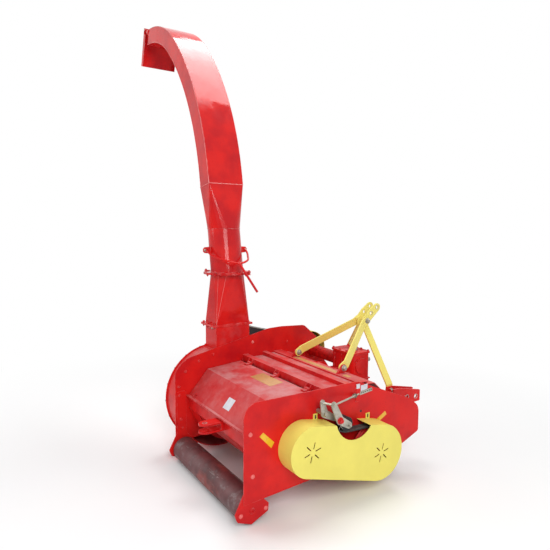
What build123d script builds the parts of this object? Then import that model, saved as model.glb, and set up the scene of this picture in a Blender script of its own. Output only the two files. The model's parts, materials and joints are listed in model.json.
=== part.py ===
"""Forage harvester for a tractor's three-point linkage, with a flail rotor, a cross auger that
ends in a thrower fan, a belt drive on each side and a turning discharge spout.

Frame: millimetres, +X to the machine's right, +Y forwards to the tractor, +Z up.
The origin is on the floor, midway between the side plates and under the auger shaft.
"""
from build123d import *
import math
import os

# ---------------------------------------------------------------- driving dimensions
INSIDE_WIDTH = 1044.0           # between the side plates
SIDE_PLATE = 6.0                # side plate thickness
SHEET = 4.0                     # trough, volute and duct sheet
COVER_SHEET = 3.0               # hood, guards and spout sheet
RUN_GAP = 0.3                   # shaft to bearing, and belt to pulley
MOVE_GAP = 8.0                  # a moving piece beside a fixed one

AUGER_Z = 420.0                     # auger and fan shaft, over the origin
ROTOR_Y, ROTOR_Z = 565.0, 285.0     # flail rotor shaft
CROSS_Y, CROSS_Z = 865.0, 700.0     # gearbox cross shaft
ROLLER_Y, ROLLER_R = -335.0, 90.0   # ground roller, standing on the floor
ROLLER_WALL, ROLLER_GAP, ROLLER_INSET, ROLLER_DISC = 7.0, 18.0, 30.0, 12.0
AXLE_R, BRACKET_T = 17.5, 8.0

HALF = INSIDE_WIDTH / 2         # inner face of a side plate
OUTER = HALF + SIDE_PLATE       # outer face of a side plate

SHAFT_R = 22.5                  # rotor and auger journals
CROSS_SHAFT_R = 17.5            # cross shaft and drive stub
BEARING_R, BEARING_LEN = 52.0, 30.0
BEARING_FLANGE, BEARING_FLANGE_T, BEARING_CORNER = 130.0, 10.0, 32.0

# side plates
PLATE_REAR_Y, PLATE_TOP_Z, PLATE_FRONT_Y = -395.0, 745.0, 1067.0
PLATE_REAR_Z = 139.0            # lower rear corner
PLATE_NOSE_Z = 283.0            # where the front edge turns under
LEFT_TOP_Z, LEFT_SHOULDER_Z = 934.0, 772.0
PLATE_TOP_BEND_Y = 470.0        # where the right plate's top edge turns down
SHAFT_CLEAR = 4.0               # round a shaft where it passes a plate

# auger and trough
TUBE_R, TUBE_WALL = 57.0, 6.0
FLIGHT_R, FLIGHT_T, FLIGHT_PITCH, FLIGHT_STEPS = 215.0, 5.0, 300.0, 36
FLIGHT_ROOT = TUBE_R + RUN_GAP  # flat facets sink by less than that between two steps
TROUGH_R = 238.0
TROUGH_REAR = -275.0            # inner face of its upright rear wall
TROUGH_FRONT = 205.0            # how far forwards the trough floor reaches
LEDGE_Z, LEDGE_Y = 490.0, -307.0
INLET_R, INLET_LEN = 270.0, 165.0       # the deeper round pan beside the fan

# fan and volute
VOLUTE_WIDTH, VOLUTE_R = 190.0, 381.0
PADDLES, PADDLE_R, PADDLE_T = 4, 350.0, 8.0
DUCT_Y0, DUCT_Y1 = -45.0, 240.0
DUCT_TOP_Z, THROAT_Z = 990.0, 820.0
VOLUTE_KNEE_Z = 620.0           # where the volute's front wall starts to lean in
FLANGE_OVERHANG, FLANGE_T = 28.0, 8.0
FLANGE_INNER = 6.0              # overhang on the side by the hood

# spout
RING_Z, RING_R, RING_T = 1400.0, 188.0, 8.0
PIPE_R = 130.0
PIPE_TOP = (-683.0, 1750.0)     # centre of the pipe's upper end, X and Z
ARCH_START = (-714.5, 2090.0)   # centre of the neck's square end, X and Z
ARCH_WIDTH, ARCH_DEPTH0, ARCH_DEPTH1 = 300.0, 165.0, 138.0
ARCH_LEAN = 8.8                 # degrees from upright where the arch starts
ARCH_ARCS = ((2190.0, 39.5), (1040.0, 39.5))    # outer radius, degrees of turn
BENDS = 6                       # bends at each corner of a square-to-round piece
EAR_Z, EAR_REACH, EAR_SIZE, EAR_PLATE = 1580.0, 190.0, (70.0, 50.0), 8.0
BAIL_R, BAIL_DROP = 8.0, 95.0   # rod of the turning handle, and how far it dips in front
LEVER_REACH = (150.0, 75.0, -215.0)     # from the bail's nose to the lever's lower end
FLAP_DROP, FLAP_LEAN, FLAP_CHEEK = 335.0, 18.0, 45.0
FLAP_TOP = 45.0                 # hinge rod beyond the arch's mouth
FLAP_ROD_R, FLAP_TUBE_R = 6.0, 12.0
FLAP_SIDE, FLAP_EAR = 16.0, 6.0 # how far the flap is wider than the arch on each side, and its ears

# belts: Y, Z and outer radius of each pulley
RIGHT_REAR, RIGHT_FRONT = (0.0, AUGER_Z, 135.0), (ROTOR_Y, ROTOR_Z, 168.0)
LEFT_REAR, LEFT_FRONT = (ROTOR_Y, ROTOR_Z, 95.0), (CROSS_Y, CROSS_Z, 125.0)
BELT_T, BELT_W = 9.0, 58.0
PULLEY_GAP, PULLEY_W = 34.0, 64.0       # from the side plate to the pulley, and its width
GROOVES, GROOVE_DEPTH, RIDGE_W = 3, 11.0, 4.0
RIM_T, WEB_T, HUB_T = 12.0, 12.0, 16.0
PULLEY_END = 6.0                # shaft beyond the pulley
IDLER_R, IDLER_Y, IDLER_Z, IDLER_PIN_R = 46.0, 300.0, 520.0, 10.0

# belt tensioner on the right: Y and Z of its pins
ARM_TOP, ARM_PIVOT = (176.0, 672.0), (227.0, 564.0)
LINK_EYE, LINK_BOSS = (122.0, 684.0), (138.0, 612.0)
ARM_T, LINK_OUT = 8.0, 72.0     # arm and link plates, and the link's face beyond the side plate
ROD_R, ROD_END = 6.0, (452.0, 660.0)
TAB_SIZE = (34.0, 122.0)        # red tab that takes the rod

# guards
GUARD_REACH = 138.0             # outer face beyond the side plate
GUARD_X = OUTER + GUARD_REACH
GUARD_REAR_R, GUARD_FRONT_R = 158.0, 187.0
GUARD_CLEAR = 32.0              # left guard beyond its pulleys
NOTCH_Y, NOTCH_Z, NOTCH_R = 338.0, 586.0, 160.0
VENTS, VENT_R, VENT_LEN, VENT_W = 6, 42.0, 42.0, 7.0
GUARD_TABS = ((118.0, 560.0), (562.0, 480.0))   # Y and Z of the tabs' middles
GUARD_TAB = (34.0, 70.0)
SHIELD_REAR_Z, SHIELD_FRONT = 958.0, (592.0, 866.0)     # sheet between the duct and the left guard
SHIELD_SKIRT = 70.0

# hitch, category 2N
LOWER_SPREAD, LOWER_PIN_R = 683.0, 14.4
LOWER_Y, LOWER_Z, LOWER_STEP = 1195.0, 475.0, 95.0
MAST_HEIGHT, TOP_PIN_R = 610.0, 12.85
TOP_Y = 1034.0
HEAD_HOLES = ((983.6, 1030.0), (TOP_Y, LOWER_Z + MAST_HEIGHT), (1097.0, 1127.0))   # brace bolt, two pins
HEAD_R = 32.0
EAR_GAP, EAR_T = 60.0, 12.0
EAR_END = 45.0                 # lower plates beyond their pins
BRACE_W, BRACE_T, BRACE_TAB = 60.0, 12.0, 42.0
TOP_GAP = 68.0                  # between the head plates
REAR_BOLT, FRONT_BOLT, BRACKET_X = (553.0, 766.0), (1000.0, 532.0), 264.0
TOW_X, TOW_PIN_Y, TOW_PIN_R, TOW_Z0, TOW_Z1 = 30.0, -410.0, 13.0, 415.0, 478.0
EYE_R, EYE_T, RAIL_T = 42.0, 12.0, 8.0

# hood over the auger: Y and Z of its folds
HOOD_LIP, HOOD_FOLD, HOOD_FRONT = (-281.0, 497.0), (-130.0, 668.0), (160.0, 694.0)
HOOD_GAP = 6.0                  # hood to side plate
HINGE_R, HINGE_W, HINGE_LEAF = 8.0, 40.0, 40.0
HINGE_XS = (-380.0, 0.0, 380.0)

# cross beams: Y0, Y1, Z0, Z1
BEAM_WALL = 5.0
BEAM_REAR = (182.0, 232.0, 690.0, 740.0)
BEAM_MID = (372.0, 412.0, 700.0, 740.0)
BEAM_FRONT = (480.0, 560.0, 668.0, 732.0)
BEAM_HITCH = (890.0, 960.0, 425.0, 495.0)

# flails
FLAIL_R, ROTOR_TUBE_R, ROTOR_WALL = 248.0, 70.0, 8.0
FLAIL_ROWS, FLAILS_PER_ROW = 4, 5
LUG_T = 6.0
SHANK_T, LUG_W, LUG_PIN_Z = 18.0, 40.0, 92.0
FLAIL_SPAN, FLAIL_HEAD, FLAIL_T = 960.0, 76.0, 10.0
PIN_HEAD, PIN_HEAD_T = 14.0, 8.0        # hexagon heads of the flail pins

# parking stand
STAND_X, STAND_SIZE, STAND_WALL = -150.0, 50.0, 6.0
STAND_SLEEVE = (365.0, 505.0)   # Z of the sleeve's ends
STAND_TOP, STAND_FOOT, STAND_FOOT_T, STAND_TUBE = 520.0, 140.0, 10.0, 4.0

# gearbox
BOX_HALF, BOX_Y0, BOX_Y1, BOX_Z0, BOX_Z1 = 125.0, 780.0, 950.0, 596.0, 792.0
STUB_LEN, STUB_COLLAR_R = 88.0, 21.0
CAP_R, SHAFT_SEAT = 60.0, 58.0  # bearing caps, and how far the shafts reach into the box
LID_T, LID_LIP, BOX_CORNER = 14.0, 8.0, 18.0
BOSS_LEN, CAP_T = 25.0, 12.0     # front boss, and the cap on the right side
HOUSING_R, HOUSING_WALL, HOUSING_FLANGE = 50.0, 8.0, (70.0, 10.0)
GUSSET_T, GUSSET_X, BED_T = 8.0, 104.0, 8.0

PARTS = "parts"


# ---------------------------------------------------------------- helpers
def rounded(corners):
    """A closed face in the sketch plane. Each corner is (u, v, radius)."""
    ends, n = [], len(corners)
    for i, (u, v, r) in enumerate(corners):
        here = Vector(u, v)
        if not r:
            ends.append((here, here, None))
            continue
        before = (Vector(*corners[i - 1][:2]) - here).normalized()
        after = (Vector(*corners[(i + 1) % n][:2]) - here).normalized()
        half = math.radians(before.get_angle(after)) / 2
        reach = r / math.tan(half)
        middle = here + (before + after).normalized() * (r / math.sin(half) - r)
        ends.append((here + before * reach, here + after * reach, middle))
    edges = []
    for i, (start, end, middle) in enumerate(ends):
        if middle is not None:
            edges.append(ThreePointArc(start, middle, end))
        following = ends[(i + 1) % n][0]
        if (following - end).length > 1e-6:
            edges.append(Line(end, following))
    return make_face(edges)


def strip(points, thickness):
    """A bent sheet's section. The path is one face, and the sheet lies on its right."""
    path = [Vector(*p) for p in points]
    far = []
    for i, here in enumerate(path):
        sides = []
        for a, b in ((i - 1, i), (i, i + 1)):
            if a >= 0 and b < len(path):
                run = (path[b] - path[a]).normalized()
                sides.append(Vector(run.Y, -run.X))
        total = sides[0] + sides[-1]
        far.append(here + total * (thickness / total.dot(sides[0])))
    return make_face(Polyline(*(path + far[::-1]), close=True).edges())


def across(face, x0, x1):
    """A face drawn in Y and Z, run from x0 to x1."""
    plane = Plane(origin=(x0, 0, 0), x_dir=(0, 1, 0), z_dir=(1, 0, 0))
    return extrude(plane * face, amount=x1 - x0)


def along(face, y0, y1):
    """A face drawn in X and Z, run from y0 to y1."""
    plane = Plane(origin=(0, y1, 0), x_dir=(1, 0, 0), z_dir=(0, -1, 0))
    return extrude(plane * face, amount=y1 - y0)


def upright(face, z0, z1):
    """A face drawn in X and Y, run from z0 to z1."""
    return extrude(Plane.XY.offset(z0) * face, amount=z1 - z0)


def bar_x(y, z, radius, x0, x1, bore=0.0):
    """A round bar or ring along X."""
    face = Pos(y, z) * Circle(radius)
    if bore:
        face -= Pos(y, z) * Circle(bore)
    return across(face, x0, x1)


def block(x0, x1, y0, y1, z0, z1):
    return Pos((x0 + x1) / 2, (y0 + y1) / 2, (z0 + z1) / 2) * Box(x1 - x0, y1 - y0, z1 - z0)


def slot_between(a, b, width):
    """A round-ended slot's face between two points."""
    a, b = Vector(*a), Vector(*b)
    angle = math.degrees(math.atan2(b.Y - a.Y, b.X - a.X))
    middle = (a + b) / 2
    return Pos(middle.X, middle.Y) * Rot(0, 0, angle) * SlotCenterToCenter((b - a).length, width)


def facet(*points):
    return Face(Wire.make_polygon(points, close=True))


def skin(rings):
    """A thin twisted solid through four-point rings, with flat facets that match on both its sides."""
    faces = [facet(*rings[0]), facet(*rings[-1])]
    for ring, following in zip(rings, rings[1:]):
        for i, j in ((0, 1), (1, 2), (3, 2), (0, 3)):
            faces += [facet(ring[i], ring[j], following[j]), facet(ring[i], following[j], following[i])]
    return Solid(Shell(faces))


def square_to_round(square, width, depth, round_end, radius):
    """A press-broken transition: a flat triangle from each side, and bends from each corner to the round."""
    signs = ((1, -1), (1, 1), (-1, 1), (-1, -1))
    corners = [(square * Pos(x * width / 2, y * depth / 2)).position for x, y in signs]
    rim = []
    for i in range(4 * BENDS):
        angle = 2 * math.pi * i / (4 * BENDS) - math.pi / 2
        rim.append((round_end * Pos(radius * math.cos(angle), radius * math.sin(angle))).position)
    faces = [facet(*corners), facet(*rim)]
    for k, corner in enumerate(corners):
        for i in range(BENDS):
            start = k * BENDS + i
            faces.append(facet(corner, rim[start], rim[(start + 1) % len(rim)]))
        faces.append(facet(corners[k - 1], corner, rim[k * BENDS]))
    return Solid(Shell(faces))


def hole(y, z, radius):
    return Pos(y, z) * Circle(radius)


def mirrored(shape):
    return mirror(shape, about=Plane.YZ)


def save(name, *shapes):
    solids = [s for shape in shapes for s in shape.solids()]
    export_step(Compound(solids) if len(solids) > 1 else solids[0], f"{PARTS}/{name}.step")


# ---------------------------------------------------------------- side plates and beams
def lower_edge():
    """The side plates' shared lower and front outline, from the rear to the nose."""
    return [
        (PLATE_REAR_Y, PLATE_REAR_Z, 0),
        (906.0, 221.0, 60),
        (PLATE_FRONT_Y, PLATE_NOSE_Z, 25),
    ]


def side_plates():
    right = rounded(
        lower_edge()
        + [
            (PLATE_FRONT_Y, 470.0, 90),
            (960.0, 545.0, 120),
            (PLATE_TOP_BEND_Y, PLATE_TOP_Z, 140),
            (PLATE_REAR_Y, PLATE_TOP_Z, 95),
        ]
    )
    left = rounded(
        lower_edge()
        + [
            (PLATE_FRONT_Y, 520.0, 90),
            (930.0, 690.0, 60),
            (930.0, 800.0, 30),
            (790.0, 922.0, 60),
            (560.0, LEFT_TOP_Z, 200),
            (430.0, LEFT_TOP_Z - 4, 200),
            (-300.0, LEFT_SHOULDER_Z, 160),
            (PLATE_REAR_Y, 690.0, 110),
        ]
    )
    shaft_hole = SHAFT_R + SHAFT_CLEAR
    right -= hole(0, AUGER_Z, shaft_hole)
    right -= hole(ROTOR_Y, ROTOR_Z, shaft_hole)
    left -= hole(0, AUGER_Z, TROUGH_R)
    left -= hole(ROTOR_Y, ROTOR_Z, shaft_hole)
    left -= hole(CROSS_Y, CROSS_Z, CROSS_SHAFT_R + SHAFT_CLEAR)
    save("side_plate_right", across(right, HALF, OUTER))
    save("side_plate_left", across(left, -OUTER, -HALF))


def tube_beam(y0, y1, z0, z1):
    wall = BEAM_WALL
    return block(-HALF, HALF, y0, y1, z0, z1) - block(-HALF, HALF, y0 + wall, y1 - wall, z0 + wall, z1 - wall)


def beams():
    save("beam_rear", tube_beam(*BEAM_REAR) + hinge_posts())
    save("beam_mid", tube_beam(*BEAM_MID))
    bracket = brace_bracket()
    save("beam_front", tube_beam(*BEAM_FRONT) + bracket + mirrored(bracket))
    save("beam_hitch", tube_beam(*BEAM_HITCH) + stand_sleeve())
    sheets = [
        strip([(BEAM_REAR[1], 712), (BEAM_MID[0], 712)], SHEET),
        strip([(BEAM_MID[1], 722), (BEAM_FRONT[0], 722)], SHEET),
    ]
    save("deck_plates", *[across(s, -HALF, HALF) for s in sheets])


def stand_sleeve():
    outside = STAND_SIZE / 2 + STAND_WALL
    inside = STAND_SIZE / 2 + RUN_GAP
    y = stand_y()
    tube = block(STAND_X - outside, STAND_X + outside, y - outside, y + outside, *STAND_SLEEVE)
    return tube - block(STAND_X - inside, STAND_X + inside, y - inside, y + inside, 0, STAND_TOP)


def stand_y():
    return BEAM_HITCH[1] + STAND_SIZE / 2 + STAND_WALL


def parking_stand():
    half, y = STAND_SIZE / 2, stand_y()
    leg = block(STAND_X - half, STAND_X + half, y - half, y + half, STAND_FOOT_T, STAND_TOP)
    bore = half - STAND_TUBE
    leg -= block(STAND_X - bore, STAND_X + bore, y - bore, y + bore, STAND_FOOT_T, STAND_TOP + 1)
    foot = upright(Pos(STAND_X, y) * RectangleRounded(STAND_FOOT, STAND_FOOT, 15), 0, STAND_FOOT_T)
    save("parking_stand", leg + foot)


def cover_path():
    """The rotor cover's outer face, from the front beam down to the hitch beam."""
    return [(BEAM_FRONT[1], 712.0), (BEAM_FRONT[1] + 65, 712.0), (760.0, 590.0), (BEAM_HITCH[0], 490.0)]


def rotor_cover():
    save("rotor_cover", across(strip(cover_path(), SHEET), -HALF, HALF))


# ---------------------------------------------------------------- auger housing and hood
def trough_bore(radius):
    """A round floor's inside, running tangent into the upright rear wall."""
    rear_wall = Line((TROUGH_REAR, LEDGE_Z + 100), (TROUGH_REAR, AUGER_Z - 30))
    return make_hull(hole(0, AUGER_Z, radius).edges() + rear_wall.edges())


def trough():
    """The floor under the auger, deeper in front of the fan, with a ledge on its rear wall."""
    bore, pan = trough_bore(TROUGH_R), trough_bore(INLET_R)
    keep = Pos(TROUGH_FRONT - 500, LEDGE_Z - 500) * Rectangle(1000, 1000)
    pan_outside = offset(pan, amount=SHEET, kind=Kind.INTERSECTION)
    ledge = TROUGH_REAR - SHEET - LEDGE_Y
    step = INLET_LEN - HALF
    parts = [
        across((offset(bore, amount=SHEET, kind=Kind.INTERSECTION) - bore) & keep, step, HALF),
        across((pan_outside - pan) & keep, -HALF, step),
        across((pan_outside - bore) & keep, step, step + SHEET),
        across(Pos(LEDGE_Y + ledge / 2, LEDGE_Z - SHEET / 2) * Rectangle(ledge, SHEET), -HALF, HALF),
    ]
    save("auger_trough", parts[0] + parts[1:])


def hinge_axis():
    """Y and Z of the hood's hinge pins."""
    return HOOD_FRONT[0] + 6, HOOD_FRONT[1] + COVER_SHEET + HINGE_R


def rear_hood():
    """The folded lid over the auger, with its lip on the trough's ledge and three hinge eyes."""
    rest = LEDGE_Z + RUN_GAP
    side = HALF - HOOD_GAP
    underside = [(LEDGE_Y, rest), (HOOD_LIP[0], rest), HOOD_FOLD, HOOD_FRONT]
    sheet = across(strip(underside[::-1], COVER_SHEET), -side, side)
    y, z = hinge_axis()
    leaf = Pos(y - HINGE_LEAF / 2, z - HINGE_R) * Rectangle(HINGE_LEAF, 2 * HINGE_R)
    under = Polyline(HOOD_FOLD, HOOD_FRONT, (HOOD_FRONT[0] + 100, HOOD_FRONT[1]), (0, 0), close=True)
    eye = hole(y, z, HINGE_R + 3) + leaf - hole(y, z, HINGE_R - 2 + RUN_GAP) - make_face(under.edges())
    eyes = [across(eye, x - HINGE_W / 2, x + HINGE_W / 2) for x in HINGE_XS]
    save("rear_hood", sheet + eyes)


def hinge_posts():
    """The pins of the hood's hinges, each between two cheeks that stand on the rear beam."""
    y, z = hinge_axis()
    foot = BEAM_REAR[0]
    base = Line((foot, BEAM_REAR[3]), (foot + 20, BEAM_REAR[3]))
    cheek = make_hull(hole(y, z, HINGE_R + 2).edges() + base.edges())
    posts = []
    for x in HINGE_XS:
        for side in (-1, 1):
            near = x + side * (HINGE_W / 2 + 2)
            posts.append(across(cheek, min(near, near + side * 5), max(near, near + side * 5)))
        reach = HINGE_W / 2 + 7
        posts.append(bar_x(y, z, HINGE_R - 2, x - reach, x + reach))
    return posts


# ---------------------------------------------------------------- volute and duct
def volute_section():
    chute = [
        (0, AUGER_Z),
        (VOLUTE_R, AUGER_Z),
        (VOLUTE_R, VOLUTE_KNEE_Z),
        (DUCT_Y1, THROAT_Z),
        (DUCT_Y1, DUCT_TOP_Z),
        (DUCT_Y0, DUCT_TOP_Z),
        (DUCT_Y0, AUGER_Z),
    ]
    return hole(0, AUGER_Z, VOLUTE_R) + make_face(Polyline(*chute, close=True).edges())


def volute():
    x1 = -OUTER
    x0 = x1 - VOLUTE_WIDTH
    inner = volute_section()
    band = offset(inner, amount=SHEET, kind=Kind.INTERSECTION) - inner
    above = Pos(0, THROAT_Z + 500) * Rectangle(2000, 1000)
    save("volute_band", across(band - above, x0, x1))
    plate = offset(inner, amount=SHEET + 12, kind=Kind.INTERSECTION) - above
    plate -= hole(0, AUGER_Z, SHAFT_R + SHAFT_CLEAR)
    save("volute_cover", across(plate, x0 - SHEET, x0))
    tube = block(x0 - SHEET, x1, DUCT_Y0 - SHEET, DUCT_Y1 + SHEET, THROAT_Z, DUCT_TOP_Z - FLANGE_T)
    flange = duct_flange(DUCT_TOP_Z - FLANGE_T)
    bore = block(x0, x1 - SHEET, DUCT_Y0, DUCT_Y1, THROAT_Z - 1, DUCT_TOP_Z + 1)
    save("outlet_duct", tube + flange - bore)


def duct_flange(z):
    """A square flange round the duct, narrow on the side that the hood opens past."""
    over = FLANGE_OVERHANG
    x0, x1 = -OUTER - VOLUTE_WIDTH - SHEET - over, -OUTER + FLANGE_INNER
    return block(x0, x1, DUCT_Y0 - SHEET - over, DUCT_Y1 + SHEET + over, z, z + FLANGE_T)


DUCT_X = -OUTER - (VOLUTE_WIDTH + SHEET) / 2
DUCT_Y = (DUCT_Y0 + DUCT_Y1) / 2


def spout_base():
    """Bolted on the duct: a square flange, a square-to-round cone and the turning ring."""
    z0 = DUCT_TOP_Z
    wide, deep = VOLUTE_WIDTH + SHEET, DUCT_Y1 - DUCT_Y0 + 2 * SHEET
    top = RING_Z - RING_T
    place = Pos(DUCT_X, DUCT_Y)

    def cone(inset):
        return square_to_round(
            Plane.XY.offset(z0) * place,
            wide - 2 * inset,
            deep - 2 * inset,
            Plane.XY.offset(top) * place,
            PIPE_R - inset,
        )

    ring = upright(place * (Circle(RING_R) - Circle(PIPE_R - SHEET)), top, RING_Z)
    save("spout_base", duct_flange(z0) + cone(0) - cone(SHEET) + ring)


# ---------------------------------------------------------------- spout
def arch_curve(offset0, offset1):
    """The arch's wall in X and Z, offset0 inside the outer wall at the neck and offset1 at the mouth."""
    lean = math.radians(ARCH_LEAN)
    heading = Vector(-math.sin(lean), math.cos(lean))
    inward = Vector(-math.cos(lean), -math.sin(lean))
    start = Vector(*ARCH_START) - inward * (ARCH_DEPTH0 / 2)
    total = sum(turn for _, turn in ARCH_ARCS)
    edges, points, done = [], [], 0.0
    here, direction, side = start, heading, inward
    for radius, turn in ARCH_ARCS:
        centre = here + side * radius
        ends = []
        for share in (0, 0.5, 1):
            angle = math.radians(turn * share)
            spoke = (side * -math.cos(angle) + direction * math.sin(angle)) * radius
            progress = (done + turn * share) / total
            depth = offset0 + (offset1 - offset0) * progress
            ends.append(centre + spoke - spoke.normalized() * depth)
        edges.append(ThreePointArc(*ends))
        angle = math.radians(turn)
        new_side = side * math.cos(angle) - direction * math.sin(angle)
        new_direction = direction * math.cos(angle) + side * math.sin(angle)
        here = centre - new_side * radius
        side, direction, done = new_side, new_direction, done + turn
        points += [ends[0], ends[2]]
    return edges, points[0], points[-1], direction, side


def arch_section(near, far):
    """The strip between two curves that lie near and far inside the outer wall, at neck and mouth."""
    outer, a0, a1, _, _ = arch_curve(*near)
    inner, b0, b1, _, _ = arch_curve(*far)
    return make_face(outer + inner + [Line(a1, b1), Line(b0, a0)])


def spout_arch():
    """Four welded sheets: the outer and inner walls, closed by two flat sides."""
    y0, y1 = DUCT_Y - ARCH_WIDTH / 2, DUCT_Y + ARCH_WIDTH / 2
    outside, inside = (0.0, 0.0), (ARCH_DEPTH0, ARCH_DEPTH1)
    under_outer = (COVER_SHEET, COVER_SHEET)
    over_inner = (ARCH_DEPTH0 - COVER_SHEET, ARCH_DEPTH1 - COVER_SHEET)
    walls = [
        along(arch_section(near, far), y0 + COVER_SHEET, y1 - COVER_SHEET)
        for near, far in ((outside, under_outer), (over_inner, inside))
    ]
    side = arch_section(outside, inside)
    save("spout_arch", *walls, along(side, y0, y0 + COVER_SHEET), along(side, y1 - COVER_SHEET, y1))


def leaning_pipe(radius):
    """The turning pipe's round section, from its ring up to the neck."""
    return loft(
        [
            Plane.XY.offset(RING_Z + RUN_GAP) * Pos(DUCT_X, DUCT_Y) * Circle(radius),
            Plane.XY.offset(PIPE_TOP[1]) * Pos(PIPE_TOP[0], DUCT_Y) * Circle(radius),
        ]
    )


def spout_pipe():
    """The turning pipe: its ring, the leaning round pipe and the round-to-square neck."""
    lean = math.radians(ARCH_LEAN)
    seat = RING_Z + RUN_GAP

    def neck(inset):
        upward = Vector(-math.sin(lean), 0, math.cos(lean))
        return square_to_round(
            Plane((ARCH_START[0], DUCT_Y, ARCH_START[1]), x_dir=(0, 1, 0), z_dir=upward),
            ARCH_WIDTH - 2 * inset,
            ARCH_DEPTH0 - 2 * inset,
            Plane((PIPE_TOP[0], DUCT_Y, PIPE_TOP[1]), x_dir=(0, 1, 0), z_dir=(0, 0, 1)),
            PIPE_R - inset,
        )

    ring = upright(Pos(DUCT_X, DUCT_Y) * (Circle(RING_R) - Circle(PIPE_R - COVER_SHEET)), seat, seat + RING_T)
    save("spout_pipe", leaning_pipe(PIPE_R) + ring - leaning_pipe(PIPE_R - COVER_SHEET))
    save("spout_neck", neck(0) - neck(COVER_SHEET))


def arch_end():
    """The outer wall's end in X and Z, with its direction."""
    _, _, end, direction, side = arch_curve(0, 0)
    return end, direction, side


def flap_hinge():
    end, direction, side = arch_end()
    return end + direction * FLAP_TOP - side * 14


def deflector_flap():
    """A plate that hangs over the arch's mouth from a hinge tube, with two narrow cheeks."""
    pivot = flap_hinge()
    half = ARCH_WIDTH / 2 + FLAP_SIDE
    lean = math.radians(FLAP_LEAN)
    down = Vector(-math.sin(lean), -math.cos(lean))
    back = Vector(math.cos(lean), -math.sin(lean))
    top = pivot - down * 14 - back * FLAP_TUBE_R
    bottom = top + down * (FLAP_DROP + 14)
    plate = along(strip([tuple(top)[:2], tuple(bottom)[:2]], COVER_SHEET), DUCT_Y - half, DUCT_Y + half)
    cheeks = []
    for side in (-1, 1):
        start = pivot + down * 40 - back * FLAP_TUBE_R
        face = make_face(
            Polyline(start, start + back * FLAP_CHEEK, bottom + back * FLAP_CHEEK, bottom, close=True).edges()
        )
        y = DUCT_Y + side * half
        cheeks.append(along(face, min(y, y - side * COVER_SHEET), max(y, y - side * COVER_SHEET)))
    ring = Pos(pivot.X, pivot.Y) * (Circle(FLAP_TUBE_R) - Circle(FLAP_ROD_R + RUN_GAP))
    tube = along(ring, DUCT_Y - half + 40, DUCT_Y + half - 40)
    save("deflector_flap", plate + cheeks + tube)


def flap_bracket():
    """The hinge rod with an ear at each end, welded to the arch."""
    pivot, (end, direction, side) = flap_hinge(), arch_end()
    half = ARCH_WIDTH / 2 + FLAP_SIDE
    root = end - direction * 40 + side * 10
    low = end + side * 40
    ear = make_hull((Pos(pivot.X, pivot.Y) * Circle(FLAP_ROD_R + 3)).edges() + Line(root, low).edges())
    parts = [along(Pos(pivot.X, pivot.Y) * Circle(FLAP_ROD_R), DUCT_Y - half, DUCT_Y + half)]
    for flank in (-1, 1):
        y = DUCT_Y + flank * ARCH_WIDTH / 2
        parts.append(along(ear, min(y, y + flank * FLAP_EAR), max(y, y + flank * FLAP_EAR)))
    save("flap_bracket", parts[0] + parts[1:])


def turning_handle():
    """Ears on both flanks of the spout pipe, a bail between them and a lever that slants from it."""
    share = (EAR_Z - RING_Z) / (PIPE_TOP[1] - RING_Z)
    x = DUCT_X + (PIPE_TOP[0] - DUCT_X) * share
    wide, high = EAR_SIZE
    ears = []
    for side in (-1, 1):
        ear = Pos(DUCT_Y + side * (PIPE_R + wide / 2 - 5), EAR_Z) * Rectangle(wide, high)
        ears.append(across(ear, x - EAR_PLATE / 2, x + EAR_PLATE / 2) - leaning_pipe(PIPE_R))
    nose = Vector(DUCT_X + RING_R + 16, DUCT_Y, EAR_Z - BAIL_DROP)
    half = [
        (x, EAR_REACH - 25, EAR_Z),
        (x + 70, EAR_REACH - 20, EAR_Z - 32),
        (nose.X - 22, 85.0, nose.Z + 16),
    ]
    points = [Vector(u, DUCT_Y + v, w) for u, v, w in half] + [nose]
    points += [Vector(u, DUCT_Y - v, w) for u, v, w in half[::-1]]
    path = Polyline(*points)
    rod = sweep(Plane(path @ 0, z_dir=path % 0) * Circle(BAIL_R), path, transition=Transition.RIGHT)
    reach = Vector(*LEVER_REACH)
    lever = Solid.make_cylinder(BAIL_R, reach.length, Plane(nose, z_dir=reach))
    save("turning_handle", ears[0] + ears[1] + rod + lever)


# ---------------------------------------------------------------- ground roller
def roller_supports():
    """A foot bracket inside each side plate, with the axle between them."""
    front = LEDGE_Y - 5
    outline = [
        (-385.0, 530.0, 20),
        (-385.0, 216.0, 0),
        (-450.0, 92.0, 15),
        (-433.0, 46.0, 15),
        (-340.0, 8.0, 10),
        (-224.0, 60.0, 15),
        (-219.0, 108.0, 15),
        (-252.0, 140.0, 0),
        (front, 208.0, 0),
        (front, 530.0, 20),
    ]
    foot = rounded(outline)
    plates = [across(foot, HALF - BRACKET_T, HALF), across(foot, -HALF, BRACKET_T - HALF)]
    reach = HALF - BRACKET_T
    axle = bar_x(ROLLER_Y, ROLLER_R, AXLE_R, -reach, reach)
    save("roller_supports", plates[0] + plates[1] + axle)


def ground_roller():
    half = HALF - BRACKET_T - ROLLER_GAP
    pipe = bar_x(ROLLER_Y, ROLLER_R, ROLLER_R, -half, half, ROLLER_R - ROLLER_WALL)
    ends = []
    for side in (-1, 1):
        x = side * (half - ROLLER_INSET)
        x0, x1 = x - ROLLER_DISC / 2, x + ROLLER_DISC / 2
        ends.append(bar_x(ROLLER_Y, ROLLER_R, ROLLER_R - ROLLER_WALL, x0, x1, AXLE_R + RUN_GAP))
    save("ground_roller", pipe + ends)


# ---------------------------------------------------------------- flail rotor
def flail_places():
    """Each flail's place along the rotor and its angle round it, in a staggered pattern."""
    pitch = FLAIL_SPAN / FLAILS_PER_ROW
    for row in range(FLAIL_ROWS):
        for i in range(FLAILS_PER_ROW):
            x = -FLAIL_SPAN / 2 + pitch * (i + (row + 0.5) / FLAIL_ROWS)
            yield x, 360.0 / FLAIL_ROWS * row


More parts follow.
